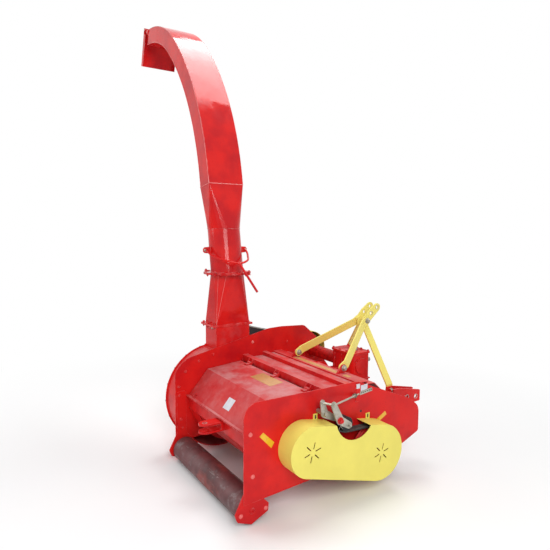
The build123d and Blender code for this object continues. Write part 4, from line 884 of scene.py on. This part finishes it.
def spout_base_bolts():
    """Flange bolts, ring bolts and welds of the square-to-round base, with thin pale bars along its folds
    that paint their highlights.
    """
    bm = bmesh.new()
    weld, bolt = sizes().bead, sizes().bolt * 0.8
    low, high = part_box("outlet_duct")
    top, under = high.z + FLANGE_T, high.z - FLANGE_T
    places = [(low.x + 0.014, low.y + (high.y - low.y) * s) for s in (0.05, 0.35, 0.65, 0.95)]
    flanges = (low.y + 0.013, high.y - 0.013)
    places += [(low.x + (high.x - low.x) * s, y) for s in (0.42, 0.80) for y in flanges]
    for i, (x, y) in enumerate(places):
        hex_bolt(bm, (x, y, top), Z, i, bolt)
        hex_bolt(bm, (x, y, under), -Z, i, bolt, 1 if i == 6 else 0, 0.008)  # one has been replaced
    x0, x1, y0, y1 = VOLUTE_FACE, LEFT_OUTER, low.y + DUCT_EDGE, high.y - DUCT_EDGE
    for z, size, seed in ((top, weld, 31), (under, weld * 0.8, 32)):
        weld_run(bm, [(x1, y0, z), (x0, y0, z), (x0, y1, z), (x1, y1, z)], size, seed, True)
    centre = Vector(((x0 + x1) / 2, DUCT.y, 0))
    bead(bm, circle(centre + Z * (RING_LOW - 0.009), Z, PIPE_R + 0.002, 150), weld, 33, True)
    for i in range(RING_BOLTS):
        angle = math.radians(30) + 2 * math.pi / RING_BOLTS * i
        at = centre + turned(RING_R - 0.016, angle, RING_LOW - 0.008)
        hex_bolt(bm, at, -Z, 0, sizes().small_bolt, 0, 0.006)
    # thin bars in the pale pink enamel paint the highlights along the base's folds
    for u, v in CORNERS:
        foot = centre + Vector((u * (x1 - x0) / 2, v * (y1 - y0) / 2, top))
        for share in (0.34, 0.67):
            angle = math.atan2(v, u) + math.radians(45) * (2 * share - 1)
            rim = centre + turned(PIPE_R, angle, RING_LOW - 0.010)
            tube(bm, run(foot.lerp(rim, 0.02), rim, 0.05), 0.0012, 8, 2)
    piece("spout_base_bolts", bm, "frame", "red_paint", "red", "zinc", "rim_red")


def ring_clips():
    """Clamps round the turning ring that hold it down on the fixed one."""
    bm = bmesh.new()
    for i in range(CLIPS):
        turn = Matrix.Rotation(math.radians(CLIP_START + 360 / CLIPS * i), 4, "Z")
        clip = Matrix.Translation((SPOUT_X, DUCT.y, RING_LOW)) @ turn @ Matrix.Translation((RING_R, 0, 0))
        for low, high in CLIP_LAYERS:
            sheet(bm, [clip @ Vector((u, v, low)) for u, v in CLIP_OUTLINE], Z, high - low)
        tube(bm, [clip @ Vector((0.008, 0, z)) for z in (-0.010, 0.011)], 0.006)
        hex_bolt(bm, clip @ Vector((0.007, 0, 0.014)), Z, i, sizes().small_bolt)
    piece("ring_clips", bm, "frame", "red_paint", "red")


def turning_handle():
    """The bent bail between its two ears, and the tube lever that hangs from it."""
    bm = bmesh.new()
    weld = sizes().bead
    x = SPOUT_X + (PIPE_TOP[0] - SPOUT_X) * (EAR_Z - RING_LOW) / (PIPE_TOP[1] - RING_LOW)
    nose = Vector((SPOUT_X + RING_R + 0.016, DUCT.y, EAR_Z - BAIL_DROP))
    half = [Vector((x, DUCT.y + EAR_Y, EAR_Z)), Vector((x + 0.040, DUCT.y + EAR_Y + 0.006, EAR_Z - 0.012)),
            Vector((x + 0.100, DUCT.y + 0.150, EAR_Z - 0.046)),
            Vector((nose.x - 0.026, DUCT.y + 0.085, nose.z + 0.018))]
    other = [Vector((p.x, 2 * DUCT.y - p.y, p.z)) for p in half[::-1]]
    tube(bm, smooth_path(half + [nose] + other), BAIL_R, 16)
    lever = [nose + LEVER_REACH * share for share in (-0.04, 0.4, 0.98)]
    tube(bm, lever, BAIL_R * 1.15, 20, bore=BAIL_R * 0.8)
    for end in (half[0], other[-1]):
        bead(bm, circle(end + X * 0.005, X, BAIL_R * 1.2, 24), weld * 0.6, 41, True)
    lever_foot = nose + LEVER_REACH.normalized() * 0.004
    bead(bm, circle(lever_foot, LEVER_REACH, BAIL_R * 1.3, 24), weld * 0.7, 42, True)
    for flank in SIDES:
        root, tip = DUCT.y + flank * (PIPE_R - 0.004), DUCT.y + flank * (PIPE_R + 0.065)
        bend = tip - flank * 0.012
        outline = ((root, -0.028), (bend, -0.022), (tip, -0.010), (tip, 0.012), (bend, 0.024), (root, 0.028))
        sheet(bm, [(x - 0.004, y, EAR_Z + rise) for y, rise in outline][::flank], X, 0.008, edge=0.03)
        hex_bolt(bm, (x + 0.004, tip - flank * 0.016, EAR_Z), X, 0, sizes().small_bolt, 1)
        seam = [(x + 0.003, root + flank * 0.004, EAR_Z + rise) for rise in (-0.026, 0.026)]
        weld_run(bm, seam, weld * 0.8, 43)
    made = piece("bail_and_lever", bm, "spout", "red_paint", "red", "zinc")
    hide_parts("turning_handle")


def flap_pins():
    """Washers and split pins on the ends of the flap's rod."""
    bm = bmesh.new()
    joint = next(j for j in frame["joints"] if j["name"] == "flap_hinge")
    pivot = Vector(joint["pos_m"])
    for flank in SIDES:
        at = Vector((pivot.x, DUCT.y + flank * (ARCH_W / 2 + 0.0145), pivot.z))
        washer(bm, place(at, flank * Y), 0.009, 0.0014, 1)
        tube(bm, offsets(at, [(-0.003, 0, 0.008), (0.002, flank * 0.0003, -0.0085)]), 0.0012, 8, 1)
    piece("flap_pins", bm, "spout", "red_paint", "red", "zinc")


# ---- belts, guards and tensioner
GUARD_BOLTS = ((0.118, 0.541), (0.562, 0.462))  # in the right guard's tabs
GUARD_FOLDS = (  # node, side, its two wheels, the fold's radius round each
    ("guard_right", 1, AUGER, ROTOR, 0.1565, 0.1855),
    ("guard_left", -1, ROTOR, CROSS, 0.127, 0.157),
)
FOLD_R, FOLD_STEPS, NOTCH, NOTCH_R = 0.0021, 40, (0.338, 0.586), 0.160
BELTS = (  # its two wheels, the rib's radius round each, the belt's middle
    (AUGER, ROTOR, 0.1445, 0.1775, RIGHT_FACE + 0.066),
    (ROTOR, CROSS, 0.1045, 0.1345, LEFT_OUTER - 0.066),
)
ARM_TOP, ARM_PIVOT, IDLER = (0.176, 0.672), (0.227, 0.564), (0.300, 0.520)
LINK_EYE, LINK_BOSS, LINK_OUT, ROD_END = (0.122, 0.684), (0.138, 0.612), 0.072, (0.452, 0.660)
SPLIT_PIN = ((0.001, 0.002, 0.004), (0.002, 0.003, -0.008), (0.001, 0.008, -0.020), (0, 0.014, -0.030))


def guard_trim():
    """The two bolts of the right guard's tabs."""
    bm = bmesh.new()
    for y, z in GUARD_BOLTS:
        hex_bolt(bm, (RIGHT_FACE + 0.003, y, z), X, y * 3, sizes().small_bolt, 1)
    piece("guard_fasteners", bm, "frame", "yellow_paint", "yellow", "zinc")


def notch_gap(point):
    """How far a point lies from the middle of the right guard's notch."""
    return math.hypot(point.y - NOTCH[0], point.z - NOTCH[1])


def guard_hem():
    """The rounded fold round each guard's face, left open at the right guard's notch."""
    bm = bmesh.new()
    for node, side, rear, front, rear_r, front_r in GUARD_FOLDS:
        low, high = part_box(node)
        face = (high.x if side > 0 else low.x) - side * 0.0022
        dy, dz = front.y - rear.y, front.z - rear.z
        lean, tip = math.atan2(dz, dy), math.acos((rear_r - front_r) / math.hypot(dy, dz))
        points = []
        for wheel, radius, start, end in ((rear, rear_r, lean + tip, lean + 2 * math.pi - tip),
                                          (front, front_r, lean - tip, lean + tip)):
            for i in range(FOLD_STEPS + 1):
                points.append(round_point(face, wheel, radius, start + (end - start) * i / FOLD_STEPS))
        if side < 0:
            tube(bm, points, FOLD_R, 8, closed=True)
            continue
        points = [p for p in points if notch_gap(p) > NOTCH_R]
        start = max(range(len(points)), key=lambda i: (points[i] - points[i - 1]).length)
        points = points[start:] + points[:start]
        path = []
        for a, b in zip(points, points[1:]):
            path += run(a, b, 0.02)[:-1]
        tube(bm, [p for p in path if notch_gap(p) > NOTCH_R - 0.0005], FOLD_R, 8)
    piece("guard_hem", bm, "frame", "yellow_paint", "yellow")


def tensioner_fasteners():
    """Nuts, split pin and rod of the belt tensioner."""
    bm = bmesh.new()
    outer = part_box("tensioner")[1].x
    arm_face, link_face = outer - 0.008, RIGHT_FACE + LINK_OUT
    hex_bolt(bm, (arm_face, *ARM_PIVOT), X, 0.2, 0.027, 1)
    hex_bolt(bm, (arm_face, *IDLER), X, 0.5, 0.020, 0, 0.006)
    hex_bolt(bm, (arm_face, *ARM_TOP), X, 0.1, 0.018)
    lathe(bm, place((link_face, *LINK_EYE), X), EYE_CAP)
    hex_bolt(bm, (link_face, *LINK_BOSS), X, 0.4, 0.024)
    pin = Vector((arm_face + 0.003, ARM_PIVOT[0], ARM_PIVOT[1] - 0.024))
    for lean in SIDES:
        tube(bm, smooth_path(offsets(pin, [(x, lean * y, z) for x, y, z in SPLIT_PIN]), 5), 0.0016, 8)
    start, end = Vector((outer - 0.006, *ARM_TOP)), Vector((RIGHT_FACE + 0.012, *ROD_END))
    eye = Vector((link_face - 0.002, *LINK_EYE))
    tube(bm, [eye, eye.lerp(start, 0.5), start], 0.0065, 14)
    ahead = (end - start).normalized()
    thread = [end - ahead * 0.060 + ahead * 0.0011 * i for i in range(100)]
    tube(bm, thread, lambda i: 0.0064 if i % 2 else 0.0054)
    for back in (0.034, 0.022):
        hex_bolt(bm, end - ahead * back, ahead, 0, 0.018)
    piece("tensioner_fasteners", bm, "frame", "zinc_plate", "zinc", "red")


def belt_ribs():
    """Fine ribs between the strands, on the backs of the joined belts where they run round a pulley."""
    bm = bmesh.new()
    for rear, front, rear_r, front_r, belt_x in BELTS:
        for wheel, other, radius in ((rear, front, rear_r), (front, rear, front_r)):
            lean = math.atan2(other.z - wheel.z, other.y - wheel.y) + math.pi
            angles = [lean + math.radians(-78 + 156 * i / 60) for i in range(61)]
            for x in (belt_x - 0.010, belt_x + 0.010):
                tube(bm, [round_point(x, wheel, radius, angle) for angle in angles], 0.0009, 6)
    piece("belt_ribs", bm, "frame", "belt_rubber", "rubber")


# ---- bearings and shafts
BEARINGS = ((ROTOR, RIGHT_FACE, 1), (ROTOR, LEFT_OUTER, -1), (AUGER, RIGHT_FACE, 1), (AUGER, VOLUTE_FACE, -1),
            (CROSS, LEFT_OUTER, -1))  # shaft, face, side
SPLINES, SPLINE_LENGTH, SPLINE_R = 6, 0.088, 0.0172  # each spline's corners follow, as angle and radius
SPLINE = ((-0.30, 0.0148), (-0.20, SPLINE_R), (0.20, SPLINE_R), (0.30, 0.0148), (0.52, 0.0145))


def bearing_fasteners():
    """Four bolts and a grease nipple on each bearing."""
    bm = bmesh.new()
    for shaft, face, side in BEARINGS:
        for u, w in CORNERS:
            at = (face + side * 0.008, shaft.y + u * 0.049, shaft.z + w * 0.049)
            hex_bolt(bm, at, side * X, u + w * 2, sizes().bolt * 0.85)
        lathe(bm, place((face + side * 0.020, shaft.y, shaft.z + 0.040), Z), NIPPLE, 10, 1)
    piece("bearing_fasteners", bm, "frame", "dark_paint", "red", "zinc")


def splined_stub():
    """The gearbox's driven stub with six splines, a locking groove and its collar."""
    bm = bmesh.new()
    low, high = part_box("drive_stub")
    matrix = place((STUB.x, low.y, STUB.z), Y)
    length = high.y - low.y
    neck = length - SPLINE_LENGTH
    lathe(bm, matrix, [(0.021, 0), (0.021, neck - 0.0015), (0.0195, neck), (0, neck)], 48)
    stations = (  # height, share of the full radius
        (neck, 1.0), (neck + 0.010, 1.0), (length - 0.0335, 1.0), (length - 0.033, 0.90),
        (length - 0.026, 0.90), (length - 0.0255, 1.0), (length - 0.002, 1.0), (length, 0.93),
    )
    rings = []
    for along, grow in stations:
        points = []
        for i in range(SPLINES):
            for turn, radius in SPLINE:
                angle = 2 * math.pi * i / SPLINES + turn
                size = (radius if along > neck + 0.005 else SPLINE_R) * grow
                points.append(bm.verts.new(matrix @ turned(size, angle, along)))
        rings.append(points)
    join_all(bm, rings)
    bm.faces.new(rings[-1])
    made = piece("splined_stub", bm, "drive_stub", "bare_steel", "bright")
    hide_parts("drive_stub")


# ---- auger, rotor and fan
FLIGHT_PITCH, FLIGHT_T, FLIGHT_ROOT = 0.300, 0.005, 0.0573
PADDLES, PADDLE_BOLTS, PADDLE_EDGE = 4, (0.230, 0.275), 0.030  # radii, and in from the paddle's ends


def auger_flight():
    """The rolled flight with its rubbed edge, on a root weld."""
    bm = bmesh.new()
    low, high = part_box("auger_flight")
    rim, length = high.z - AUGER.z, high.x - low.x - FLIGHT_T
    turns = length / FLIGHT_PITCH
    steps = round(turns * sizes().turn_steps)
    section = ((0, FLIGHT_ROOT), (0, rim - 0.002), (0.0015, rim), (FLIGHT_T - 0.0015, rim),
               (FLIGHT_T, rim - 0.002), (FLIGHT_T, FLIGHT_ROOT))
    rings, weld = [], []
    for i in range(steps + 1):
        angle = 2 * math.pi * turns * i / steps
        out = Vector((0, math.cos(angle), math.sin(angle)))
        centre = Vector((low.x + length * i / steps, AUGER.y, AUGER.z))
        rings.append([bm.verts.new(centre + X * across + out * radius) for across, radius in section])
        weld.append(centre + out * FLIGHT_ROOT)
    join_all(bm, rings)
    bm.faces.new(rings[0][::-1])
    bm.faces.new(rings[-1])
    bead(bm, weld, sizes().bead * 0.8, 51)
    made = piece("rolled_flight", bm, "auger_fan", "bare_steel", "red_steel")
    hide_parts("auger_flight")


def rotor_welds():
    """The welds and end discs of the flail rotor's tube."""
    bm = bmesh.new()
    for side in SIDES:
        bead(bm, circle((side * 0.5, ROTOR.y, ROTOR.z), X, 0.0705, 90), sizes().bead, 61, True)
        lathe(bm, place((side * 0.505, ROTOR.y, ROTOR.z), side * X), ROTOR_DISC, 48)
    piece("rotor_welds", bm, "flail_rotor", "bare_steel", "red_steel")


def paddle_bolts():
    """Four bolts on each of the fan's paddles."""
    bm = bmesh.new()
    low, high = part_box("fan_paddles")
    for i in range(PADDLES):
        angle = 2 * math.pi / PADDLES * i
        out = Vector((0, math.cos(angle), math.sin(angle)))
        across = X.cross(out)
        for radius in PADDLE_BOLTS:
            for x in (low.x + PADDLE_EDGE, high.x - PADDLE_EDGE):
                at = Vector((x, AUGER.y, AUGER.z)) + out * radius + across * 0.004
                hex_bolt(bm, at, across, i, sizes().small_bolt, 0, 0.004)
    piece("paddle_bolts", bm, "auger_fan", "bare_steel", "zinc")


# ---- hitch
BRACE_BOLT, HEAD_BOLT, REAR_BOLT, FRONT_BOLT = 0.027, (0.9836, 1.030), (0.553, 0.766), (1.000, 0.532)
BRACE_BOLTS = (  # X, place, way it looks, turn
    (0.058, HEAD_BOLT, 1, 0.3), (0.288, REAR_BOLT, 1, 0.9), (0.264, REAR_BOLT, -1, 0.4),
    (0.3115, FRONT_BOLT, 1, 0.6), (0.2875, FRONT_BOLT, -1, 0.1),
)
LUG_BOLT, LUG_BOLT_Z, LUG_X, LUG_WELD_Z = (0.340, 0.9605), (0.505, 0.545), (0.2995, 0.3835), (0.430, 0.560)
BEAM_CORNER = ((0.890, 0.425), (0.890, 0.495), (0.960, 0.495))  # weld at the hitch beam's ends
HEAD_HOLES, HEAD_FACE, HEAD_WEAR = ((1.034, 1.085), (1.097, 1.127)), 0.0461, (0.0165, 0.0163, 0.0133, 0.0130)
LUG_HOLES, LUG_WEAR = ((1.195, 0.475), (1.100, 0.485)), (0.0190, 0.0186, 0.0150, 0.0146)
TOW_EYE, TOW_FACES, TOW_WEAR = (0.030, -0.410), ((0.478, 1), (0.415, -1)), (0.0170, 0.0167, 0.0135, 0.0131)


def hitch_fasteners():
    """Bolts of the braces and lower plates, and the welds of the hitch beam."""
    bm = bmesh.new()
    weld = sizes().bead
    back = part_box("beam_hitch")[1]
    for side in SIDES:
        for x, place_yz, way, turn in BRACE_BOLTS:
            hex_bolt(bm, (side * x, *place_yz), side * way * X, turn, BRACE_BOLT, 2)
        for z in LUG_BOLT_Z:
            hex_bolt(bm, (side * LUG_BOLT[0], LUG_BOLT[1], z), Y, z * 20, sizes().bolt * 0.9)
        for x in LUG_X:
            corners = [(side * x, back.y + 0.0008, min(z, back.z)) for z in LUG_WELD_Z]
            weld_run(bm, corners, weld, round(x * 100))
        weld_run(bm, [(side * 0.5215, y, z) for y, z in BEAM_CORNER], weld, 71)
    piece("hitch_fasteners", bm, "frame", "red_paint", "red", "yellow", "zinc")


def pin_hole_wear():
    """The worn edges round the head plates' open holes and the lower plates' upper holes."""
    bm = bmesh.new()
    for side in SIDES:
        for y, z in HEAD_HOLES:
            worn_rim(bm, (side * HEAD_FACE, y, z), side * X, HEAD_WEAR)
        for x in LUG_X:
            for y, z in LUG_HOLES:
                worn_rim(bm, (side * (x + 0.0001), y, z), side * X, LUG_WEAR)
    piece("pin_hole_wear", bm, "frame", "bare_steel", "bright")


def tow_wear():
    """The worn edges of the tow clevis's eyes, and its welds."""
    bm = bmesh.new()
    weld = sizes().bead
    for z, way in TOW_FACES:
        worn_rim(bm, (*TOW_EYE, z), way * Z, TOW_WEAR, 36)
    for z in (0.427, 0.466):
        weld_run(bm, [(x, -0.375, z) for x in (-0.008, 0.068)], weld * 0.7, round(z * 1000), finish=1)
    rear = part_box("tow_hitch")[1].y - 0.0003
    weld_run(bm, [(x, rear, 0.395) for x in (-0.520, 0.520)], weld * 0.5, 77, finish=1)
    piece("tow_eye_wear", bm, "frame", "bare_steel", "bright", "red")


# ---- gearbox
SEAL_BOLTS, SEAL_BOLT_R, TUBE_BOLTS, TUBE_BOLT_R = 6, 0.047, 6, 0.060
TUBE_ENDS = ((-0.512, 1), (-0.135, -1))  # X of each flange, and the way it looks


def gearbox_fittings():
    """Lid bolts, breather, oil seal, plugs and cast ribs of the gearbox."""
    bm = bmesh.new()
    low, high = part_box("gearbox_lid")
    middle_y = (low.y + high.y) / 2
    for u in (-0.44, -0.15, 0.15, 0.44):
        for w in (-0.41, 0.41):
            at = (GEARBOX.x - 0.006 + u * (high.x - low.x), middle_y + w * (high.y - low.y), high.z)
            hex_bolt(bm, at, Z, u * 5, sizes().bolt * 0.75)
    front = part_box("gearbox")[1].y
    for i in range(SEAL_BOLTS):
        angle = 2 * math.pi / SEAL_BOLTS * i
        at = (SEAL_BOLT_R * math.cos(angle), front, CROSS.z + SEAL_BOLT_R * math.sin(angle))
        hex_bolt(bm, at, Y, i, sizes().small_bolt)
    lathe(bm, place((0, front, CROSS.z), Y), OIL_SEAL, 40, 2)
    lathe(bm, place((0.045, middle_y + 0.02, high.z), Z), BREATHER, 16, 1)
    for x in (0.070, -0.070):
        hex_bolt(bm, (x, low.y + 0.008, 0.640), -Y, x * 9, sizes().bolt)
    for x in (-0.085, 0, 0.085):
        slab(bm, (x - 0.004, 0.7725, 0.612), (x + 0.004, 0.7805, 0.780), 0.0015)
    piece("gearbox_fittings", bm, "frame", "red_paint", "red", "zinc", "black")


def tube_fasteners():
    """Flange bolts and welds at the two ends of the cross shaft's tube."""
    bm = bmesh.new()
    for x, way in TUBE_ENDS:
        for i in range(TUBE_BOLTS):
            at = round_point(x, CROSS, TUBE_BOLT_R, math.radians(360 / TUBE_BOLTS * i + 15))
            hex_bolt(bm, at, way * X, i, sizes().small_bolt)
        bead(bm, circle((x + way * 0.0005, CROSS.y, CROSS.z), X, 0.051, 60), sizes().bead * 0.8, 81, True)
    piece("shaft_tube_fasteners", bm, "frame", "red_paint", "casting")


# ---- stand and roller
SLEEVE, STAND_PIN_Z = 0.031, 0.440  # half the sleeve's width, and its pin's height


def stand_pin():
    """The parking stand's cross pin with its head and ring."""
    bm = bmesh.new()
    at = Vector((STAND.x, STAND.y, STAND_PIN_Z))
    head = at - X * (SLEEVE + 0.014)
    tube(bm, [head, at, at + X * (SLEEVE + 0.018)], 0.0065, 16)
    tube(bm, circle(at + X * (SLEEVE + 0.022) - Z * 0.016, Y, 0.017, 28), 0.0018, 8, closed=True)
    lathe(bm, place(head, -X), PIN_HEAD, 20)
    piece("stand_pin", bm, "frame", "zinc_plate", "zinc")


def roller_ends():
    """The weld round each end disc of the roller."""
    bm = bmesh.new()
    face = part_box("ground_roller")[1].x - 0.004
    for side in SIDES:
        bead(bm, circle((side * face, ROLLER.y, ROLLER.z), X, 0.0815, 90), 0.0028, 91, True)
    piece("roller_end_welds", bm, "roller", "worn_roller", "primer")


# ---- studio
CAMERA = {"at": (3.003, -1.7725, 1.7485), "azimuth": 57.337, "pitch": 5.167, "roll": 0.244, "lens": 33.285}
WORLD_LEVEL = 0.42
LAMPS = (  # name, place, aim, width, height, watts
    ("key_panel", (6.0, -2.0, 4.6), (0.0, 0.3, 0.8), 3.0, 3.0, 270.0),
    ("top_panel", (-1.3, 1.9, 6.5), (-0.8, 0.2, 1.4), 3.8, 1.8, 190.0),
    ("rear_panel", (-3.5, -4.5, 3.6), (-0.3, 0.2, 1.0), 3.0, 3.0, 95.0),
)
FLOOR_HALF, FLOOR_DROP, FLOOR_FADE = 40.0, 0.0004, (1.4, 4.2)  # it fades to plain white between these


def studio_floor():
    """A pale floor that keeps the machine's shadow and fades to white away from it."""
    bm = bmesh.new()
    bm.faces.new([bm.verts.new((u * FLOOR_HALF, v * FLOOR_HALF, -FLOOR_DROP)) for u, v in CORNERS[::-1]])
    mesh = bpy.data.meshes.new("studio_floor")
    bm.to_mesh(mesh)
    bm.free()
    floor = bpy.data.objects.new("studio_floor", mesh)
    bpy.context.scene.collection.objects.link(floor)
    paper = Finish("floor_paper", roughness=0.9, specular=0.1)
    tone = paper.patches((0.95, 0.95, 0.95), (0.93, 0.93, 0.94), 0.8, 3.0, 0.3, 0.7, 0.5)
    floor.data.materials.append(paper.close(tone))
    away = paper.tree.nodes.new("ShaderNodeVectorMath")
    away.operation = "LENGTH"
    paper.put(away.inputs[0], paper.coordinates)
    seen = paper.add("ShaderNodeLightPath").outputs["Is Camera Ray"]
    share = paper.math("MULTIPLY", paper.between(away.outputs["Value"], *FLOOR_FADE), seen)
    glow = paper.add("ShaderNodeEmission", Color=(1.0, 1.0, 1.0, 1.0), Strength=1.0)
    blend = paper.add("ShaderNodeMixShader", Fac=share)
    paper.put(blend.inputs[1], paper.surface.outputs["BSDF"])
    paper.put(blend.inputs[2], glow.outputs["Emission"])
    paper.put(paper.tree.nodes["Material Output"].inputs["Surface"], blend.outputs["Shader"])


def studio_world():
    """Soft light from all round, which the camera, gloss and glass see as white."""
    world = bpy.data.worlds.new("studio")
    bpy.context.scene.world = world
    world.use_nodes = True
    nodes, links = world.node_tree.nodes, world.node_tree.links
    plain, white = nodes["Background"], nodes.new("ShaderNodeBackground")
    for background, level in ((plain, WORLD_LEVEL), (white, 1.0)):
        background.inputs["Color"].default_value = (1.0, 1.0, 1.0, 1.0)
        background.inputs["Strength"].default_value = level
    rays = nodes.new("ShaderNodeLightPath").outputs
    seen = rays["Is Camera Ray"]
    for ray in ("Is Glossy Ray", "Is Transmission Ray"):
        either = nodes.new("ShaderNodeMath")
        either.operation = "MAXIMUM"
        links.new(seen, either.inputs[0])
        links.new(rays[ray], either.inputs[1])
        seen = either.outputs[0]
    choose = nodes.new("ShaderNodeMixShader")
    for output, socket in ((seen, 0), (plain.outputs[0], 1), (white.outputs[0], 2)):
        links.new(output, choose.inputs[socket])
    links.new(choose.outputs[0], nodes["World Output"].inputs["Surface"])


def studio_lamps():
    """Three wide panels of soft light."""
    for name, at, aim, width, height, power in LAMPS:
        light = bpy.data.lights.new(name, "AREA")
        light.shape, light.size, light.size_y, light.energy = "RECTANGLE", width, height, power
        lamp = bpy.data.objects.new(name, light)
        lamp.location = at
        lamp.rotation_euler = (Vector(aim) - Vector(at)).to_track_quat("-Z", "Y").to_euler()
        bpy.context.scene.collection.objects.link(lamp)


def studio_camera():
    """The camera, and plain colours in its picture."""
    bpy.context.scene.view_settings.view_transform = "Standard"
    lens = bpy.data.cameras.new("studio_camera")
    lens.sensor_width, lens.lens, lens.sensor_fit = 36.0, CAMERA["lens"], "HORIZONTAL"
    lens.clip_end = 100.0
    camera = bpy.data.objects.new("studio_camera", lens)
    azimuth, pitch, roll = (math.radians(CAMERA[k]) for k in ("azimuth", "pitch", "roll"))
    level = math.cos(pitch)
    ahead = Vector((-math.sin(azimuth) * level, math.cos(azimuth) * level, -math.sin(pitch)))
    turn = ahead.to_track_quat("-Z", "Y").to_matrix().to_4x4() @ Matrix.Rotation(roll, 4, "Z")
    camera.matrix_world = Matrix.Translation(Vector(CAMERA["at"])) @ turn
    bpy.context.scene.collection.objects.link(camera)
    bpy.context.scene.camera = camera


# ---- operators
class HARVESTER_OT_paint(bpy.types.Operator):
    """Makes the finishes and paints every formed part"""

    bl_idname = "harvester.paint"
    bl_label = "Finishes"

    def execute(self, context):
        make_finishes()
        paint_nodes()
        return {"FINISHED"}


class HARVESTER_OT_side_plates(bpy.types.Operator):
    """Bolts, slots and reflectors of the side plates"""

    bl_idname = "harvester.side_plates"
    bl_label = "Side plates"

    def execute(self, context):
        plate_bolts()
        plate_holes()
        reflectors()
        return {"FINISHED"}


class HARVESTER_OT_fan_housing(bpy.types.Operator):
    """Bolts and welds of the fan's housing"""

    bl_idname = "harvester.fan_housing"
    bl_label = "Fan housing"

    def execute(self, context):
        fan_housing()
        return {"FINISHED"}


class HARVESTER_OT_hood_and_beams(bpy.types.Operator):
    """Labels, latches and strips of the hood and beams"""

    bl_idname = "harvester.hood_and_beams"
    bl_label = "Hood and beams"

    def execute(self, context):
        hood_trim()
        beam_trim()
        plate_strip()
        rod_tab()
        shield_highlight_strip()
        return {"FINISHED"}


class HARVESTER_OT_spout(bpy.types.Operator):
    """Welds, flange bolts, ring clamps, turning handle and flap pins"""

    bl_idname = "harvester.spout"
    bl_label = "Spout"

    def execute(self, context):
        spout_welds()
        spout_base_bolts()
        ring_clips()
        turning_handle()
        flap_pins()
        return {"FINISHED"}


class HARVESTER_OT_guards(bpy.types.Operator):
    """Hems and fasteners of the belt guards"""

    bl_idname = "harvester.guards"
    bl_label = "Guards"

    def execute(self, context):
        guard_trim()
        guard_hem()
        return {"FINISHED"}


class HARVESTER_OT_tensioner(bpy.types.Operator):
    """Nuts, split pin and thread of the tensioner, and the belts' ribs"""

    bl_idname = "harvester.tensioner"
    bl_label = "Belt tensioner"

    def execute(self, context):
        tensioner_fasteners()
        belt_ribs()
        return {"FINISHED"}


class HARVESTER_OT_bearings(bpy.types.Operator):
    """Bolts and grease nipples of the bearings"""

    bl_idname = "harvester.bearings"
    bl_label = "Bearings"

    def execute(self, context):
        bearing_fasteners()
        return {"FINISHED"}


class HARVESTER_OT_rotors(bpy.types.Operator):
    """Rolled flight, rotor welds and paddle bolts"""

    bl_idname = "harvester.rotors"
    bl_label = "Rotor, auger and fan"

    def execute(self, context):
        auger_flight()
        rotor_welds()
        paddle_bolts()
        return {"FINISHED"}


class HARVESTER_OT_hitch(bpy.types.Operator):
    """Bolts, welds and worn holes of the hitches"""

    bl_idname = "harvester.hitch"
    bl_label = "Hitch"

    def execute(self, context):
        hitch_fasteners()
        pin_hole_wear()
        tow_wear()
        return {"FINISHED"}


class HARVESTER_OT_gearbox(bpy.types.Operator):
    """Lid bolts, plugs, splined stub and shaft tube"""

    bl_idname = "harvester.gearbox"
    bl_label = "Gearbox"

    def execute(self, context):
        gearbox_fittings()
        tube_fasteners()
        splined_stub()
        return {"FINISHED"}


class HARVESTER_OT_stand_and_roller(bpy.types.Operator):
    """Pin of the parking stand and welds of the roller"""

    bl_idname = "harvester.stand_and_roller"
    bl_label = "Stand and roller"

    def execute(self, context):
        stand_pin()
        roller_ends()
        return {"FINISHED"}


class HARVESTER_OT_stage(bpy.types.Operator):
    """Floor, world, lamps and camera"""

    bl_idname = "harvester.stage"
    bl_label = "Studio"

    def execute(self, context):
        studio_floor()
        studio_world()
        studio_lamps()
        studio_camera()
        return {"FINISHED"}


OPERATORS = (
    HARVESTER_OT_paint, HARVESTER_OT_side_plates, HARVESTER_OT_fan_housing, HARVESTER_OT_hood_and_beams,
    HARVESTER_OT_spout, HARVESTER_OT_guards, HARVESTER_OT_tensioner, HARVESTER_OT_bearings,
    HARVESTER_OT_rotors, HARVESTER_OT_hitch, HARVESTER_OT_gearbox, HARVESTER_OT_stand_and_roller,
    HARVESTER_OT_stage,
)


class HARVESTER_PT_finish(bpy.types.Panel):
    """Lists the steps that finish the harvester"""

    bl_label = "Harvester"
    bl_idname = "HARVESTER_PT_finish"
    bl_space_type = "VIEW_3D"
    bl_region_type = "UI"
    bl_category = "Harvester"

    def draw(self, context):
        column = self.layout.column()
        for made in OPERATORS:
            column.operator(made.bl_idname)
        for group in (context.scene.harvester_sizes, context.scene.harvester_colours):
            for name in group.__annotations__:
                column.prop(group, name)


CLASSES = (HarvesterColours, HarvesterSizes, *OPERATORS, HARVESTER_PT_finish)


def register():
    for made in CLASSES:
        bpy.utils.register_class(made)
    bpy.types.Scene.harvester_sizes = PointerProperty(type=HarvesterSizes)
    bpy.types.Scene.harvester_colours = PointerProperty(type=HarvesterColours)


def unregister():
    del bpy.types.Scene.harvester_colours
    del bpy.types.Scene.harvester_sizes
    for made in reversed(CLASSES):
        bpy.utils.unregister_class(made)


def main():
    register()
    for made in OPERATORS:
        section, name = made.bl_idname.split(".")
        getattr(getattr(bpy.ops, section), name)()


if __name__ == "__main__":
    main()
